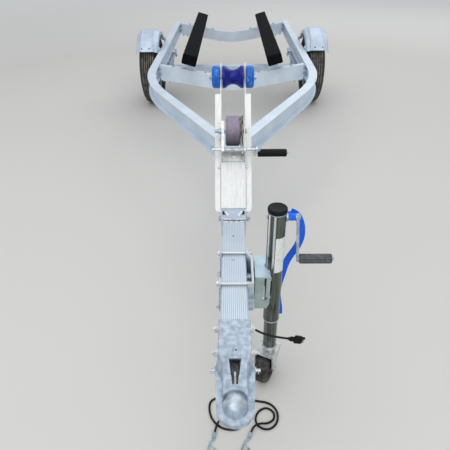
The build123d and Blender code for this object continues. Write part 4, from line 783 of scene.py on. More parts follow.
class OBJECT_OT_trailer_tyres(bpy.types.Operator):
    """Mould the tyres: grooved tread, slotted shoulders and ringed sidewalls"""

    bl_idname = "object.trailer_tyres"
    bl_label = "Mould the tyres"

    def execute(self, context):
        half = [
            (279.0, 0.0), (279.0, 2.5),
            (286.0, 3.5), (285.8, 12.0), (278.5, 13.0), (278.5, 18.5), (285.6, 19.5), (285.3, 29.5),
            (278.0, 30.5), (278.0, 36.0), (284.8, 37.0), (284.0, 45.0), (281.8, 53.0), (277.5, 59.0),
            (270.0, 64.0), (262.0, 67.0), (257.0, 70.2), (254.0, 70.0), (250.0, 72.5), (236.0, 75.8),
            (232.0, 77.2), (228.0, 77.2), (226.0, 76.6), (214.0, 77.4), (200.0, 76.0), (190.0, 73.2),
            (188.0, 74.2), (185.0, 73.4), (184.0, 71.5), (176.0, 67.0), (172.0, 63.0), (171.0, 60.0),
            (168.5, 55.5), (166.5, 50.1), (153.0, 50.1),
        ]
        steps = context.scene.trailer_finish.tyre_steps
        for side, hand in SIDES:
            shape = turned(mirrored(half), steps, closed=True)
            slots = []
            for face in shape.faces:
                middle = face.calc_center_median()
                radius = math.hypot(middle.x, middle.y) / MM
                step = int(math.atan2(middle.y, middle.x) / math.tau * steps + steps)
                if step % 3 == (1 if middle.z > 0 else 0) and radius > 274 and 45 < abs(middle.z) / MM < 59:
                    slots.append(face)
            sunk = raised(bmesh.ops.extrude_face_region(shape, geom=slots))
            bmesh.ops.scale(shape, verts=sunk, vec=(0.981, 0.981, 1.0))
            tyre = dress("ribbed_tyre_" + hand, "tyre_rubber", (shape, on_axle(side)), body="wheel_" + hand,
                         smooth=0.5)
            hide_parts("tyre_" + hand)
        return {"FINISHED"}


class OBJECT_OT_trailer_wheel_fittings(bpy.types.Operator):
    """Fit the wheel nuts, the dust caps and the valves"""

    bl_idname = "object.trailer_wheel_fittings"
    bl_label = "Fit the wheels"

    def execute(self, context):
        for side, hand in SIDES:
            centre = Vector((side * WHEEL_X, AXLE_Y, AXLE_Z))
            out = Vector((side, 0, 0))
            studs = []
            for step in range(4):
                angle = math.radians(45 + 90 * step)
                across, up = math.cos(angle) * STUD_CIRCLE, math.sin(angle) * STUD_CIRCLE
                studs.append(place_on(centre + Vector((side * 0.0121, across, up)), out))
            dress("wheel_nuts_" + hand, "zinc_plate", (nut(19, 13, 6, 12, 3), studs), body="wheel_" + hand)
            cap = turned([(0, 9), (8, 8.6), (15, 7), (19, 3.5), (20.5, 0), (24, -0.5), (24.2, -3),
                          (23, -14)], 32)
            nipple = turned([(0, 4), (1.6, 3.6), (2.2, 2.4), (1.4, 1), (2, 0), (2, -2)], 10)
            dress("dust_cap_" + hand, "zinc_plate", (cap, along(centre, out, 25.8)),
                  (hex_head(8, 3), along(centre, out, 34.6)),
                  (nipple, along(centre, out, 37.6)), body="wheel_" + hand)
            valve = turned([(0, 34), (3, 33.5), (3.6, 32), (3.6, 24), (3, 23), (3, 14), (4.5, 9), (6, 2),
                            (8, 1), (8, 0), (0, 0)], 14)
            seat = place_on(centre + Vector((side * 0.0155, 0.03, -0.110)), (side, 0, -0.35))
            dress("valve_" + hand, "black_coat", (valve, seat), body="wheel_" + hand)
        return {"FINISHED"}


class OBJECT_OT_trailer_fenders(bpy.types.Operator):
    """Roll the fenders: swaged edges, hemmed ends and their bolts"""

    bl_idname = "object.trailer_fenders"
    bl_label = "Roll the fenders"

    def execute(self, context):
        half = [
            (324.6, 0.0), (324.6, 40.0), (325.2, 43.5), (327.6, 46.5), (328.4, 49.5), (327.2, 52.5),
            (323.6, 55.0), (320.0, 58.5), (316.2, 67.0), (312.6, 75.5), (309.0, 82.5), (304.5, 88.0),
            (299.5, 91.0), (294.0, 91.9), (282.0, 92.0), (279.6, 93.2), (278.6, 92.0), (279.0, 90.2),
        ]
        line = [(radius, -lateral) for radius, lateral in reversed(half[1:])] + half
        for side, hand in SIDES:
            sheet = turned(line, 44, angle=FENDER_SWEEP)
            start = Matrix.Rotation(FENDER_START, 3, "Z")
            bmesh.ops.rotate(sheet, verts=sheet.verts, cent=(0, 0, 0), matrix=start)
            bmesh.ops.recalc_face_normals(sheet, faces=sheet.faces)
            outward = sum(face.normal.dot(face.calc_center_median().xy.to_3d()) for face in sheet.faces)
            bmesh.ops.solidify(sheet, geom=sheet.faces[:], thickness=(SHEET if outward > 0 else -SHEET) * MM)
            hems = []
            for angle in (FENDER_START, FENDER_START + FENDER_SWEEP):
                hem = [(side * WHEEL_X / MM + lateral, AXLE_STATION + radius * math.cos(angle),
                        AXLE_Z / MM + radius * math.sin(angle) - 1.0) for radius, lateral in line[6:-6]]
                hems.append(bent_rod(hem, 2.1, smooth=False))
            fender = dress("rolled_fender_" + hand, "galvanised_steel", (sheet, on_axle(side)), *hems,
                           smooth=0.9)
            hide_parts("fender_" + hand)

        heads = []
        for side in (-1, 1):
            for end in (-1, 1):
                angle = math.radians(90 + end * 47.5)
                normal = Vector((0, math.cos(angle), math.sin(angle)))
                for across in (40, -22):
                    centre = Vector((side * (WHEEL_X + across * MM), AXLE_Y, AXLE_Z))
                    heads.append(along(centre, normal, 324.6))
        dress("fender_rivets", "dark_steel", (dome_head(6, 3.4), heads), slot="zinc_plate")
        return {"FINISHED"}


class OBJECT_OT_trailer_bunks(bpy.types.Operator):
    """Wrap the bunks: matted carpet over the boards, folded over their ends"""

    bl_idname = "object.trailer_bunks"
    bl_label = "Wrap the bunks"

    def execute(self, context):
        width, length, thick = BUNK_SIZE
        for side, hand in SIDES:
            board = block(width, length, thick)
            bmesh.ops.translate(board, verts=board.verts, vec=(0, 0, -thick / 2 * MM))
            long_edges = [e for e in board.edges if abs(e.verts[0].co.y - e.verts[1].co.y) > 0.5]
            bmesh.ops.bevel(board, geom=long_edges, offset=9 * MM, segments=4, profile=0.5, material=-1,
                            affect="EDGES")
            rounded(board, 4, 2)
            cuts = [((0, y * MM, 0), (0, 1, 0)) for y in range(-900, 915, 15)]
            cuts += [((x * MM, 0, 0), (1, 0, 0)) for x in range(-40, 41, 10)]
            cuts += [((0, 0, z * MM), UP) for z in (-12, 0, 12)]
            for point, normal in cuts:
                everything = board.verts[:] + board.edges[:] + board.faces[:]
                bmesh.ops.bisect_plane(board, geom=everything, plane_co=point, plane_no=normal)
            board.normal_update()
            for vert in board.verts:
                place = vert.co * 28 + Vector((side * 7, 0, 0))
                lumps = noise_source.noise(place) * 1.1 + noise_source.noise(place * 4.5) * 0.5
                vert.co += vert.normal * lumps * MM
            tuck = [(-49, -31), (-49, 31), (-6, 2), (-6, -2)]
            for end in (-1, 1):
                turn = Matrix.Rotation(end * -math.pi / 2, 4, "X")
                place = Matrix.Translation((0, end * length / 2 * MM, 0)) @ turn
                for points in (tuck[::-1], tuck):
                    mirror = 1 if points is tuck else -1
                    fold = plate([(x * mirror, y) for x, y in points], 1.6)
                    put(board, rounded(fold, 0.7, 2), place)
            centre = Vector((side * BUNK_X, at(BUNK_FRONT + length / 2), BUNK_Z))
            lean = Matrix.Rotation(side * -BUNK_LEAN, 4, "Y")
            wrapped = dress("carpeted_bunk_" + hand, "grey_carpet",
                            (board, Matrix.Translation(centre) @ lean), smooth=0.9)
            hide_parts("bunk_" + hand)
        return {"FINISHED"}


class OBJECT_OT_trailer_frame_bolts(bpy.types.Operator):
    """Bolt the frame, the springs, the bunks and the stand together"""

    bl_idname = "object.trailer_frame_bolts"
    bl_label = "Bolt the frame"

    def execute(self, context):
        heads, nuts = [], []
        for front in CROSSMEMBERS:
            for side in (-1, 1):
                for height in (405, 441):
                    heads.append(spot(side * 545, front - 5, height, (0, -1, 0), height))
                    nuts.append(spot(side * 545, front + 5, height, (0, 1, 0), height))
                    heads.append(spot(side * 574, front - 25, height, (side, 0, 0), height))
                    nuts.append(spot(side * 564, front - 25, height, (-side, 0, 0), height))
                slope = Vector((-side * math.sin(CROSS_SLOPE), 0, math.cos(CROSS_SLOPE)))
                for across in (202, 447, 478, 522):
                    top = CROSS_TOP - (CROSS_END - across) * math.tan(CROSS_SLOPE)
                    if across < 450:
                        heads.append(spot(side * across, front + 22, top + 5, slope, across))
                    else:
                        low = top - CROSS_DEPTH / math.cos(CROSS_SLOPE) - 6
                        nuts.append(spot(side * across, front + 22, low, -slope, across))
        for x, station in ((72, 1540), (103, 1600)):
            for side in (-1, 1):
                heads.append(spot(side * x, station, 384.9, UP, x))
                nuts.append(spot(side * x, station, 372.4, DOWN, x))
        for side in (-1, 1):
            for station in (842, 898):
                (heads if side < 0 else nuts).append(spot(side * 46.3, station, 441, (side, 0, 0), station))
            for station in (3343.8, 3746.2):
                heads.append(spot(side * 600, station, 494, (-side, 0, 0)))
        dress("frame_bolts", "zinc_plate", (hex_head(17, 6.5, 11), heads), (nut(17, 8, 5, 11, 5), nuts))

        lower, upper, ends, far_ends = [], [], [], []
        for side in (-1, 1):
            for dx in (-29.25, 29.25):
                for dy in (-32.4, 32.4):
                    corner = (side * SPRING_X + dx, AXLE_STATION + dy)
                    lower.append(spot(*corner, 252.6, DOWN, dx + dy))
                    upper.append(spot(*corner, 341.1, UP, dx + dy))
            for station, height in ((3215, SPRING_EYE), (3853, SLIPPER)):
                ends.append(spot(side * (SPRING_X + 29.3), station, height, (side, 0, 0)))
                far_ends.append(spot(side * (SPRING_X - 29.3), station, height, (-side, 0, 0)))
        bands = [spot(side * SPRING_X, AXLE_STATION + dy, 318.5 + abs(dy) / 14, UP)
                 for side in (-1, 1) for dy in (-165, 165)]
        dress("spring_fasteners", "zinc_plate", (nut(15, 8, 5, 0, 2), lower), (nut(15, 8, 5, 0, 1), upper),
              (hex_head(20, 7.6, 13), ends), (nut(20, 7.6, 8, 0, 1), far_ends),
              (rounded(block(50, 22, 3), 0.8, 1), bands))
        return {"FINISHED"}


class OBJECT_OT_trailer_stand_details(bpy.types.Operator):
    """Fit the stand: bolts, base plate, seams, tabs, welds, holes, and the bow roller with its pins"""

    bl_idname = "object.trailer_stand_details"
    bl_label = "Fit the stand"

    def execute(self, context):
        dress("stand_bolts", "bright_zinc", (hex_head(15, 6, 10.5), on_stand(0, 204, 0.6)),
              (nut(11, 5, 3, 0, 2), [on_stand(-52, 164, 0), on_stand(50, 166, 0)]), slot="zinc_plate")
        dress("winch_base_plate", "pale_zinc",
              (rounded(block(70, 33, 1.4), 0.5, 2), on_stand(0, 203.5, -0.6)),
              (rounded(block(74, 3.4, 2.4), 0.8, 2), on_stand(0, 222, -0.4)), slot="zinc_plate")
        # painted shade: grey strips laid along the stand's open seams, with dust in them
        dress("stand_seams", "seam_shade_and_dust", (block(74, 1.6, 0.6), on_stand(0, 184.6, 0.4)),
              (block(1.5, 176, 0.5), [on_stand(side * 46.4, 95, 0.3) for side in (-1, 1)]),
              slot="galvanised_steel")

        tabs = []
        for side in (-1, 1):
            turn = Matrix.Rotation(side * math.radians(-34), 4, "Z")
            tilt = Matrix.Rotation(math.radians(14), 4, "X")
            tabs.append(Matrix.Translation((side * 24 * MM, at(803), 0.4862)) @ turn @ tilt)
        tab = plate([(-5, -12), (5, -12), (5, 11), (-5, 11)], 3)
        dress("panel_tabs", "pale_zinc", (rounded(tab, 0.8, 2), tabs), slot="galvanised_steel")

        seams = [
            ([(-35, 760, 480.5), (-20, 758.6, 480.5)], 3.4, 3),
            ([(-13, 759.4, 480.5), (-3, 758.4, 480.5)], 3.0, 4),
            ([(6, 759, 480.5), (16, 758.4, 480.5)], 3.2, 5), ([(22, 759, 480.5), (35, 760, 480.5)], 3.4, 6),
            ([(-34, 768.5, 485), (-8, 768, 485)], 2.2, 11), ([(9, 768, 485), (34, 768.5, 485)], 2.2, 12),
            ([(-38, 830, 485.5), (-38, 868, 485.5)], 2.0, 7), ([(38, 830, 485.5), (38, 868, 485.5)], 2.0, 8),
        ]
        for side in (-1, 1):
            for edge in (-26, 26):
                seat = [(side * SPRING_X + edge, AXLE_STATION + back, 312) for back in (-22, 22)]
                seams.append((seat, 3, side + edge + 100))
            eye = [(side * 37, 408 + 5 * math.cos(a), 402.5 + 3 * math.sin(a))
                   for a in (2.6, 3.6, 4.7, 5.8, 6.8)]
            seams.append((eye, 2.2, side + 40))
        dress("frame_welds", "pale_zinc", *[bead(*seam) for seam in seams], slot="galvanised_steel")

        # painted shade: black strips and discs laid between weld beads, in notches and over holes
        gaps = [Matrix.Translation((x * MM, at(765.6), 0.4797)) for x in (-25, 0, 25)]
        notches = [Matrix.Translation((side * 35 * MM, at(809), 0.4868)) for side in (-1, 1)]
        hole = turned([(0, 0.35), (2.6, 0.35), (2.7, 0.0), (0, 0)], 16)
        pit = turned([(0, 0.3), (2.2, 0.3), (2.3, 0), (0, 0)], 14)
        dress("holes_and_gaps", "painted_shade_black", (block(22, 3.2, 0.8), gaps), (block(9, 20, 0.8), notches),
              (hole, spot(-1.5, 674, 480, UP)),
              (block(9, 1.6, 0.4), Matrix.Translation((-2.5 * MM, at(545), 0.4799))),
              (pit, spot(2.8, 187, 483.8, UP)),
              (block(1.2, 5, 0.35), Matrix.Translation((-4.5 * MM, at(185), 0.4837))), slot="black_paint")

        bow = stand_at(0, 0.506, -0.010)
        station, height = (bow.y + HALF_LENGTH) / MM, bow.z / MM
        pins = []
        for side in (-1, 1):
            pins.append((ring(8.1, 12.5, 1.8), along(bow, Vector((side, 0, 0)), 78.8)))
            pins.append(bent_rod([(side * 83.5, station + back, height + up) for back, up in (
                (-2, 11), (1, 12.5), (3, 10), (0, 7), (0, 0), (-1, -9), (-4, -12))], 1.1))
            end = turned([(0, 1.2), (6, 1.0), (7.9, 0), (0, 0)], 20)
            pins.append((end, along(bow, Vector((side, 0, 0)), 87.2)))
        dress("bow_pins", "zinc_plate", *pins)

        across = Matrix.Translation(bow) @ AXLE_TURN
        half = [(8.2, 39.6), (36, 39.9), (39, 39.2), (40.4, 37.6), (40.5, 34), (40.2, 31), (39, 28), (36.6, 24.5),
                (34, 21), (31.4, 17.5), (29.2, 14), (27.6, 10.5), (26.8, 7), (26.5, 3.5), (26.4, 0)]
        spool = dress("moulded_bow_spool", "blue_roller", (turned(mirrored(half), 56, closed=True), across),
                      body="bow_stop")
        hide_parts("bow_spool")
        bell = [(8.2, 48.4), (34, 48.4), (38, 49), (40.2, 51), (40.6, 54), (40.6, 62), (40.2, 69), (38.8, 73),
                (36, 76), (31, 77.8), (26, 78.2), (24, 77.4), (20, 77.2), (16, 78), (8.2, 78.2)]
        both = [across, Matrix.Translation(bow) @ Matrix.Rotation(math.pi, 4, "Z") @ AXLE_TURN]
        # the end rollers are paler than the spool, partly faded and partly painted light
        ends = dress("moulded_end_rollers", "faded_and_lit_roller", (turned(bell, 56, closed=True), both),
                     body="bow_stop", slot="blue_roller")
        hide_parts("bow_end_rollers")
        return {"FINISHED"}


class OBJECT_OT_trailer_winch(bpy.types.Operator):
    """Fit the winch: the wound strap, its cheek and nuts, the pawl and the ribbed grip"""

    bl_idname = "object.trailer_winch"
    bl_label = "Fit the winch"

    def execute(self, context):
        drum = stand_at(0, 0.2835, 0.050)
        crank = stand_at(0, 0.2175, 0.050)
        left, right = Vector((-1, 0, 0)), Vector((1, 0, 0))

        edge = []
        for turn in range(21):
            radius = 16.4 + turn * 1.7
            edge += [(radius, 22.5 + (turn * 7 % 3) * 0.25), (radius + 0.85, 21.9)]
        face = [(51.6, 22.6), (52.0, 21.0), (52.1, 11.0), (51.7, 4.0), (51.9, 0.0)]
        roll = turned(mirrored(edge + face), 64, closed=True)
        for vert in roll.verts:
            radius = math.hypot(vert.co.x, vert.co.y)
            if radius > 0.0505:
                sag = noise_source.noise(Vector((vert.co.x * 30, vert.co.y * 30, vert.co.z * 55)))
                vert.co.xy *= 1 + sag * 0.5 * MM / radius
        place = Matrix.Translation(drum + right * -0.0015) @ AXLE_TURN
        lap = arc_of([(52.0, -22.3), (53.2, -22.6), (53.3, 0), (53.2, 22.6), (52.0, 22.3)], 44, 236)
        rows = [place @ Matrix.Rotation(math.radians(angle), 4, "Z") @ Matrix.Translation((0.0532, 0, 0))
                @ Matrix.Rotation(math.pi / 2, 4, "Y") @ Matrix.Rotation(math.pi, 4, "Z")
                for angle in (-57, -53, -45, -41)]
        wound = dress("wound_strap", "grey_webbing", (roll, place),
                      (lap, place @ Matrix.Rotation(math.radians(-62), 4, "Z")), (block(42, 1.3, 0.7), rows),
                      body="winch_spool", smooth=0.5)
        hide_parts("winch_strap")

        rim = turned([(45.5, 0), (47.4, 0.3), (47.8, 1.0), (47.4, 1.8), (45.5, 2.0)], 60, closed=True)
        dress("drum_fittings", "zinc_plate",
              (nut(19, 8, 6.2, 12, 5), along(drum, left, 42.5, 0.2)),
              (hex_head(17, 4.5, 0), along(drum, right, 42.5, 0.3)),
              (ring(6.4, 11, 7), [along(drum, right, x) for x in (-38.5, 22.2)]),
              (rim, [along(drum, right, x) for x in (-27, 22)]),
              body="winch_spool")
        cheek = turned([(30, 0), (50.8, 0), (51.6, 0.7), (51.6, 1.9), (50.8, 2.6), (30, 2.6)], 64, closed=True)
        dress("drum_cheek", "greased_steel", (cheek, along(drum, right, 24.3)), body="winch_spool",
              slot="zinc_plate")

        weld = [((crank.x + 0.0797) / MM, (crank.y + HALF_LENGTH) / MM + 9.3 * math.cos(a),
                 crank.z / MM + 9.3 * math.sin(a)) for a in [math.tau * i / 12 for i in range(13)]]
        grip_at = crank + Vector((0, math.cos(CRANK_TURN), -math.sin(CRANK_TURN))) * 0.150
        end = turned([(0, 2.6), (3, 2.3), (6, 0), (6, -1), (0, -1)], 16)
        dress("crank_fittings", "zinc_plate", (nut(14, 6, 5, 9.5, 3), along(crank, right, 86.2, 0.4)),
              bead(weld, 1.8, 21), (end, along(grip_at, right, 210)), body="winch_handle")
        level = Matrix.Translation(grip_at + right * 0.095) @ Matrix.Rotation(math.pi / 2, 4, "Y")
        grip = dress("ribbed_winch_grip", "black_plastic", (ribbed_grip(15, 112, 18, 0.7), level),
                     body="winch_handle")
        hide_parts("winch_grip")

        pawl = plate([(-6, -9), (5, -11), (10, 2), (7, 24), (2, 34), (-3, 33), (-2, 14), (-9, 2)], 3)
        seat = stand_at(-0.042, 0.252, 0.058)
        rivets = [place_on(stand_at(side * 0.0461, 0.204, -0.012), (side, 0, 0)) for side in (-1, 1)]
        dress("winch_pawl", "zinc_plate", (rounded(pawl, 0.7, 2), place_on(seat, left, math.radians(160))),
              (dome_head(6.5, 4), along(seat, left, 3)), (dome_head(5, 2.4), rivets))
        return {"FINISHED"}


class OBJECT_OT_trailer_jack(bpy.types.Operator):
    """Fit the jack: its clamp nuts, welds, pins, blank label, ribbed grip, cap and caster wheel"""

    bl_idname = "object.trailer_jack"
    bl_label = "Fit the jack"

    def execute(self, context):
        x, station = JACK_X / MM, JACK_STATION
        right = Vector((1, 0, 0))
        left_ends = [spot(-44.1, row, height, (-1, 0, 0), row)
                     for row in CLAMP_ROWS for height in (486, 397.8)]
        right_ends = [spot(44.1, CLAMP_ROWS[1], height, (1, 0, 0), 1) for height in (486, 397.8)]
        elbows = [bent_rod([(side * 38.2, row, 486), (side * 40.5, row, 487.5), (side * 43, row, 486)], 5.6)
                  for row in CLAMP_ROWS for side in (-1, 1)]
        dress("clamp_nuts", "bright_zinc", (nut(16, 7.5, 5, 0, 2), left_ends),
              (hex_head(16, 6, 10), right_ends), *elbows, slot="zinc_plate")

        collar = turned([(26.3, 0), (27.4, 0.4), (27.8, 1.6), (27.4, 2.8), (26.3, 3.2)], 48, closed=True)
        foot = turned([(26.3, 0), (26.9, 0.3), (26.9, 3.5), (26.3, 4)], 40, closed=True)
        arc = [(x + 27.6 * math.cos(a), station + 27.6 * math.sin(a), 480.6)
               for a in [math.radians(124 + 14 * i) for i in range(9)]]
        welds = [bead(arc, 2.3, 31)]
        for row in (463.8, 566.2):
            welds.append(bead([(107.6, row, 478), (108.4, row, 466)], 2.6, row))
            welds.append(bead([(106.5, row, 408), (108.2, row, 396)], 2.6, row + 1))
        bush = turned([(8.4, 0), (13, 0), (13, 4), (11.5, 6), (8.4, 6)], 24, closed=True)
        hub = turned([(0, 1.5), (5, 1.2), (8.5, 0), (8.5, -2), (0, -2)], 20)
        stop = turned([(0, 2.2), (4, 1.8), (6, 0), (6, -1), (0, -1)], 16)
        dress("jack_fittings", "zinc_plate", (collar, spot(x, station, 672.6, UP)),
              (foot, spot(x, station, 262, UP)), *welds,
              (bush, place_on((0.1471, JACK_Y, CRANK_Z), right)),
              (hub, place_on((0.1862, JACK_Y, 0.6575), right)),
              (dome_head(6.5, 4.5), place_on((0.0958, JACK_Y, CRANK_Z), -right)),
              (stop, place_on((0.2972, JACK_Y, GRIP_Z), right)), body="jack")

        film = arc_of([(26.25, 474), (26.55, 474), (26.55, 599), (26.25, 599)], 20, 75)
        label = Matrix.Translation((JACK_X, JACK_Y, 0)) @ Matrix.Rotation(math.radians(-95), 4, "Z")
        dress("blank_label", "blank_film", (film, label), body="jack", slot="grey_plastic")
        level = Matrix.Translation((0.196, JACK_Y, GRIP_Z)) @ Matrix.Rotation(math.pi / 2, 4, "Y")
        grip = dress("ribbed_jack_grip", "grey_plastic", (ribbed_grip(15, 97, 8, 2.2), level), body="jack")
        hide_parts("jack_grip")
        cap = turned([(0, 11.5), (10, 12.2), (20, 13.2), (24, 14), (26.5, 13.4), (28, 11.5), (28.2, 8), (28, 1),
                      (27.4, 0.1), (0, 0.1)], 48)
        lid = dress("moulded_cap", "black_plastic", (cap, spot(x, station, 676, UP)), body="jack")
        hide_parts("jack_cap")

        around = [(x + 24.2 * math.cos(a), station + 24.2 * math.sin(a), 132.6)
                  for a in [math.tau * i / 16 for i in range(17)]]
        across = Vector((math.cos(CASTER_YAW), math.sin(CASTER_YAW), 0))
        trail = Vector((math.sin(CASTER_YAW), -math.cos(CASTER_YAW), 0))
        wheel = Vector((JACK_X, JACK_Y, 0.060)) + trail * 0.032
        dress("caster_fittings", "bright_zinc", bead(around, 2.1, 51),
              (hex_head(16, 5, 10), along(wheel, -across, 34.1)),
              (nut(16, 5, 5, 10, 1), along(wheel, across, 34.1)), body="caster", slot="zinc_plate")

        half = [(6.3, 25), (13, 24.8), (14.5, 24), (18, 19.5), (22, 18.5), (34, 18.5), (38, 20), (40.5, 23.8),
                (43, 24.6), (50, 24), (54, 21.5), (57.5, 17), (58.6, 15.2), (58.2, 14.4), (59.4, 13.2), (60, 11),
                (60, 2.6), (59.2, 1.8), (59.2, 0)]
        base = Matrix.Translation(wheel) @ place_on((0, 0, 0), across)
        spokes = [base @ Matrix.Rotation(math.tau * i / 6, 4, "Z") @ Matrix.Translation((0, 0, lift * MM))
                  for lift in (-22.6, 17.6) for i in range(6)]
        spoke = plate([(-3, 17), (3, 17), (2.2, 39), (-2.2, 39)], 5)
        roller = dress("moulded_caster_wheel", "dusty_roller",
                       (turned(mirrored(half), 60, closed=True), base),
                       (rounded(spoke, 1.0, 2), spokes), body="caster_roll", slot="black_plastic")
        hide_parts("caster_wheel")
        return {"FINISHED"}


class OBJECT_OT_trailer_coupler(bpy.types.Operator):
    """Fit the coupler: washers, pin clips, the latch's rod and the drawn dome"""

    bl_idname = "object.trailer_coupler"
    bl_label = "Fit the coupler"

    def execute(self, context):
        washers = [spot(side * 42, station, 462, (side, 0, 0)) for side in (-1, 1) for station in (277, 198)]
        pins = []
        for side in (-1, 1):
            clip = [(side * 57, row, height) for row, height in (
                (149, 461), (152, 459), (152.5, 452), (152, 444), (149, 441))]
            button = turned([(0, 0.8), (3, 0.6), (4, 0), (0, 0)], 14)
            pins += [(ring(4.2, 8.5, 1.4, 20), spot(side * 49.3, 152, 452, (side, 0, 0))),
                     bent_rod(clip, 0.9), (button, spot(side * 61, 152, 452, (side, 0, 0)))]
        latch = bent_rod([(0, 131, 471), (0, 110, 471), (0, 84, 470)], 3.4, smooth=False)
        dress("coupler_fittings", "bright_zinc", (ring(6.4, 12.5, 1.6), washers), *pins, latch,
              slot="zinc_plate")

        dome = bmesh.new()
        bmesh.ops.create_uvsphere(dome, u_segments=64, v_segments=40, radius=0.029)
        bmesh.ops.scale(dome, verts=dome.verts, vec=(1.0, 1.16, 1.0))
        bmesh.ops.translate(dome, verts=dome.verts, vec=(0, at(51), 0.4563))
        everything = dome.verts[:] + dome.edges[:] + dome.faces[:]
        bmesh.ops.bisect_plane(dome, geom=everything, plane_co=(0, 0, 0.4585), plane_no=UP,
                               clear_inner=True)
        bmesh.ops.solidify(dome, geom=dome.faces[:], thickness=1.2 * MM)
        dress("pressed_dome", "drawn_zinc", dome, slot="zinc_plate")
        return {"FINISHED"}


class OBJECT_OT_trailer_cord_ends(bpy.types.Operator):
    """Crimp the cables' ferrules, gate their hooks and detail the plug"""

    bl_idname = "object.trailer_cord_ends"
    bl_label = "Detail the cords' ends"

    def execute(self, context):
        crimps, gates = [], []
        for route in (CABLE_LEFT, CABLE_RIGHT):
            end = Vector(route[-1])
            heading = (end - Vector(route[-2])).normalized()
            flat = Vector((heading.x, heading.y, 0)).normalized()
            side = Vector((-flat.y, flat.x, 0))
            crimps += [place_on(metres(end - heading * back), heading) for back in (5, 1.5, -2)]
            start = end + heading * 6
            gates.append(bent_rod([start + flat * a + side * b + Vector((0, 0, c)) for a, b, c in (
                (20, -6.4, 1.2), (26, -2, 1.6), (33, 5, 1.4), (39, 10.6, 0.6), (42, 11.8, 0.2))], 1.2))
        crimp = turned([(5.5, -1.2), (6.0, -0.6), (6.0, 0.6), (5.5, 1.2)], 20, closed=True)
        dress("hook_gates", "zinc_plate", (crimp, crimps), *gates)

        end = Vector(LEAD[-1])
        heading = (end - Vector(LEAD[-2])).normalized()
        up = Vector((0, 1, 0))
        across = heading.cross(up)
        ribs = [(turned([(3.4, -1.3), (size, -0.9), (size, 0.9), (3.4, 1.3)], 18, closed=True),
                 place_on(metres(end + heading * step), heading))
                for step, size in ((-6, 5.2), (-1.5, 5.6), (3, 6.2))]
        flat = Matrix((heading, up, across)).transposed().to_4x4()
        ridge = rounded(block(1.6, 12.8, 27.8), 0.5, 1)
        bmesh.ops.translate(ridge, verts=ridge.verts, vec=(0, 0, -13.9 * MM))
        ridges = [Matrix.Translation(metres(end + heading * step)) @ flat for step in (17, 21, 25, 29, 33)]
        dress("plug_ribs", "black_plastic", *ribs, (ridge, ridges))
        contact = turned([(0, 8), (1.6, 7.4), (2.2, 5.8), (2.2, 4.6), (1.9, 4.2), (2.2, 3.6), (2.2, -1),
                          (0, -1)], 14)
        rows = [place_on(metres(end + heading * 38 + across * row), heading) for row in (-9, -3, 3, 9)]
        dress("plug_contacts", "contact_brass", (contact, rows[:3]), slot="zinc_plate")
        dress("plug_shroud", "black_plastic", (ring(2.6, 3.8, 8, 16), rows[3]))
        return {"FINISHED"}


class OBJECT_OT_trailer_lamps(bpy.types.Operator):
    """Build the tail lamps: case, prismed lens and screws"""

    bl_idname = "object.trailer_lamps"
    bl_label = "Build the lamps"

    def execute(self, context):
        low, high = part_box("tail_lamps")
        middle, back = (low[2] + high[2]) / 2, high[1]
        outline = [(-60, -34), (60, -34), (60, 34), (-60, 34)]
        cases, lenses, screws = [], [], []
        for side in (-1, 1):
            base = place_on((side * LAMP_X, back - 0.0262, middle), (0, 1, 0))
            turn = Matrix.Rotation(-math.pi / 2, 4, "X")
            foot = Matrix.Translation((side * LAMP_X, back - 0.0662, middle)) @ turn
            cases += [(rounded(plate(outline, 15), 5, 3), base), (block(70, 40, 40), foot)]
            cover = rounded(plate([(x * 0.955, y * 0.93) for x, y in outline], 12), 4, 3)
            lenses += [(cover, base @ Matrix.Translation((0, 0, 14.2 * MM))),
                       (rounded(block(1.6, 60, 1.6), 0.6, 1),
                        [base @ Matrix.Translation((x * MM, 0, 25.4 * MM)) for x in range(-48, 49, 8)])]
            screws += [base @ Matrix.Translation((x * MM, 0, 26.0 * MM)) for x in (-52.5, 52.5)]
        holder = dress("lamp_cases", "black_plastic", *cases)
        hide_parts("tail_lamps")
        dress("lamp_lenses", "red_lens", *lenses)
        dress("lamp_screws", "zinc_plate", (dome_head(3.6, 1.6), screws))
        return {"FINISHED"}


class OBJECT_OT_trailer_cords(bpy.types.Operator):
    """Lay the two safety cables and the wiring lead"""

    bl_idname = "object.trailer_cords"
    bl_label = "Lay the cords"

    def execute(self, context):
        for name, route, length in (("cable_left", CABLE_LEFT, 0.84), ("cable_right", CABLE_RIGHT, 0.85)):
            cord = lay_cord("coated_" + name, route)
            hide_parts(name)
        lead = lay_cord("wiring_cord", LEAD)
        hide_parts("wiring_lead")
        return {"FINISHED"}


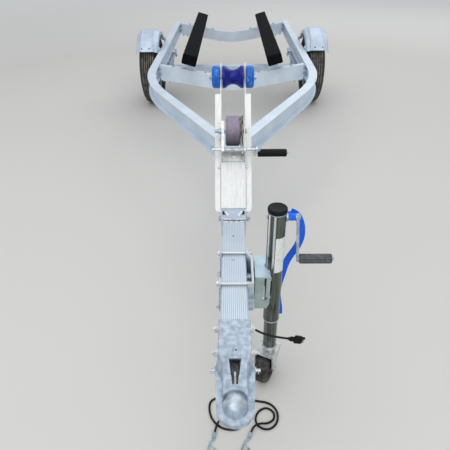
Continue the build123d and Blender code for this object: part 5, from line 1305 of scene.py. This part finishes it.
class OBJECT_OT_trailer_stage(bpy.types.Operator):
    """Set the floor, the light and the camera"""

    bl_idname = "object.trailer_stage"
    bl_label = "Set the stage"

    def execute(self, context):
        stage = context.scene.trailer_stage
        bpy.ops.mesh.primitive_plane_add(size=200, location=(0, 0, 0))
        floor = context.object
        floor.name = "studio_floor"
        pale = Recipe("pale_floor", stage.floor_colour, 0.0, 0.85)
        reach = pale.add("VectorMath", {0: pale.place}, "Value", operation="LENGTH")
        pale.cover((pale.add("MapRange", {"Value": reach, "From Min": 3.5, "From Max": 9.0}), "#FBFBF9"))
        floor.data.materials.append(pale.material)

        world = bpy.data.worlds.new("studio")
        world.use_nodes = True
        back = world.node_tree.nodes["Background"]
        back.inputs["Color"].default_value = linear("#E6E9ED")
        back.inputs["Strength"].default_value = 0.64
        context.scene.world = world
        target = Vector((0, -0.8, 0.3))
        for name, place, size, share in (
            ("key_lamp", (-1.2, -2.6, 5.6), 7.0, 1.0),
            ("fill_lamp", (2.2, 4.2, 5.0), 6.0, 0.6),
            ("front_lamp", (1.8, -6.8, 4.6), 4.5, 0.55),
        ):
            data = bpy.data.lights.new(name, "AREA")
            data.size = size
            data.energy = stage.key_power * share
            lamp = bpy.data.objects.new(name, data)
            context.scene.collection.objects.link(lamp)
            lamp.matrix_world = place_on(place, Vector(place) - target)

        data = bpy.data.cameras.new("photo_camera")
        data.lens = 36
        data.sensor_width = 36
        data.clip_start = 0.05
        camera = bpy.data.objects.new("photo_camera", data)
        context.scene.collection.objects.link(camera)
        yaw, roll, pitch = math.radians(-1.02), math.radians(0.763), stage.camera_pitch
        level = math.cos(pitch)
        forward = Vector((math.sin(yaw) * level, math.cos(yaw) * level, -math.sin(pitch)))
        right = Vector((math.cos(yaw), -math.sin(yaw), 0))
        down = forward.cross(right)
        turned_right = right * math.cos(roll) + down * math.sin(roll)
        turned_up = right * math.sin(roll) - down * math.cos(roll)
        rows = Matrix((turned_right, turned_up, -forward)).transposed().to_4x4()
        camera.matrix_world = Matrix.Translation((-0.0067, at(-555), stage.camera_height)) @ rows
        context.scene.camera = camera
        context.scene.view_settings.view_transform = "Standard"
        return {"FINISHED"}


class VIEW3D_PT_trailer(bpy.types.Panel):
    """Lists the operators that dress the trailer"""

    bl_label = "Boat trailer"
    bl_space_type = "VIEW_3D"
    bl_region_type = "UI"
    bl_category = "Trailer"

    def draw(self, context):
        for operator in OPERATORS:
            self.layout.operator(operator.bl_idname)


OPERATORS = (
    OBJECT_OT_trailer_finishes,
    OBJECT_OT_trailer_tyres,
    OBJECT_OT_trailer_wheel_fittings,
    OBJECT_OT_trailer_fenders,
    OBJECT_OT_trailer_bunks,
    OBJECT_OT_trailer_frame_bolts,
    OBJECT_OT_trailer_stand_details,
    OBJECT_OT_trailer_winch,
    OBJECT_OT_trailer_jack,
    OBJECT_OT_trailer_coupler,
    OBJECT_OT_trailer_lamps,
    OBJECT_OT_trailer_cords,
    OBJECT_OT_trailer_cord_ends,
    OBJECT_OT_trailer_stage,
)
GROUPS = (TrailerFinish, TrailerStage)


def register():
    for item in GROUPS + OPERATORS + (VIEW3D_PT_trailer,):
        bpy.utils.register_class(item)
    bpy.types.Scene.trailer_finish = bpy.props.PointerProperty(type=TrailerFinish)
    bpy.types.Scene.trailer_stage = bpy.props.PointerProperty(type=TrailerStage)


def unregister():
    del bpy.types.Scene.trailer_stage
    del bpy.types.Scene.trailer_finish
    for item in reversed(GROUPS + OPERATORS + (VIEW3D_PT_trailer,)):
        bpy.utils.unregister_class(item)


def main():
    """Dress the frame."""
    register()
    bpy.ops.object.trailer_finishes()
    bpy.ops.object.trailer_tyres()
    bpy.ops.object.trailer_wheel_fittings()
    bpy.ops.object.trailer_fenders()
    bpy.ops.object.trailer_bunks()
    bpy.ops.object.trailer_frame_bolts()
    bpy.ops.object.trailer_stand_details()
    bpy.ops.object.trailer_winch()
    bpy.ops.object.trailer_jack()
    bpy.ops.object.trailer_coupler()
    bpy.ops.object.trailer_lamps()
    bpy.ops.object.trailer_cords()
    bpy.ops.object.trailer_cord_ends()
    bpy.ops.object.trailer_stage()


if __name__ == "__main__":
    main()
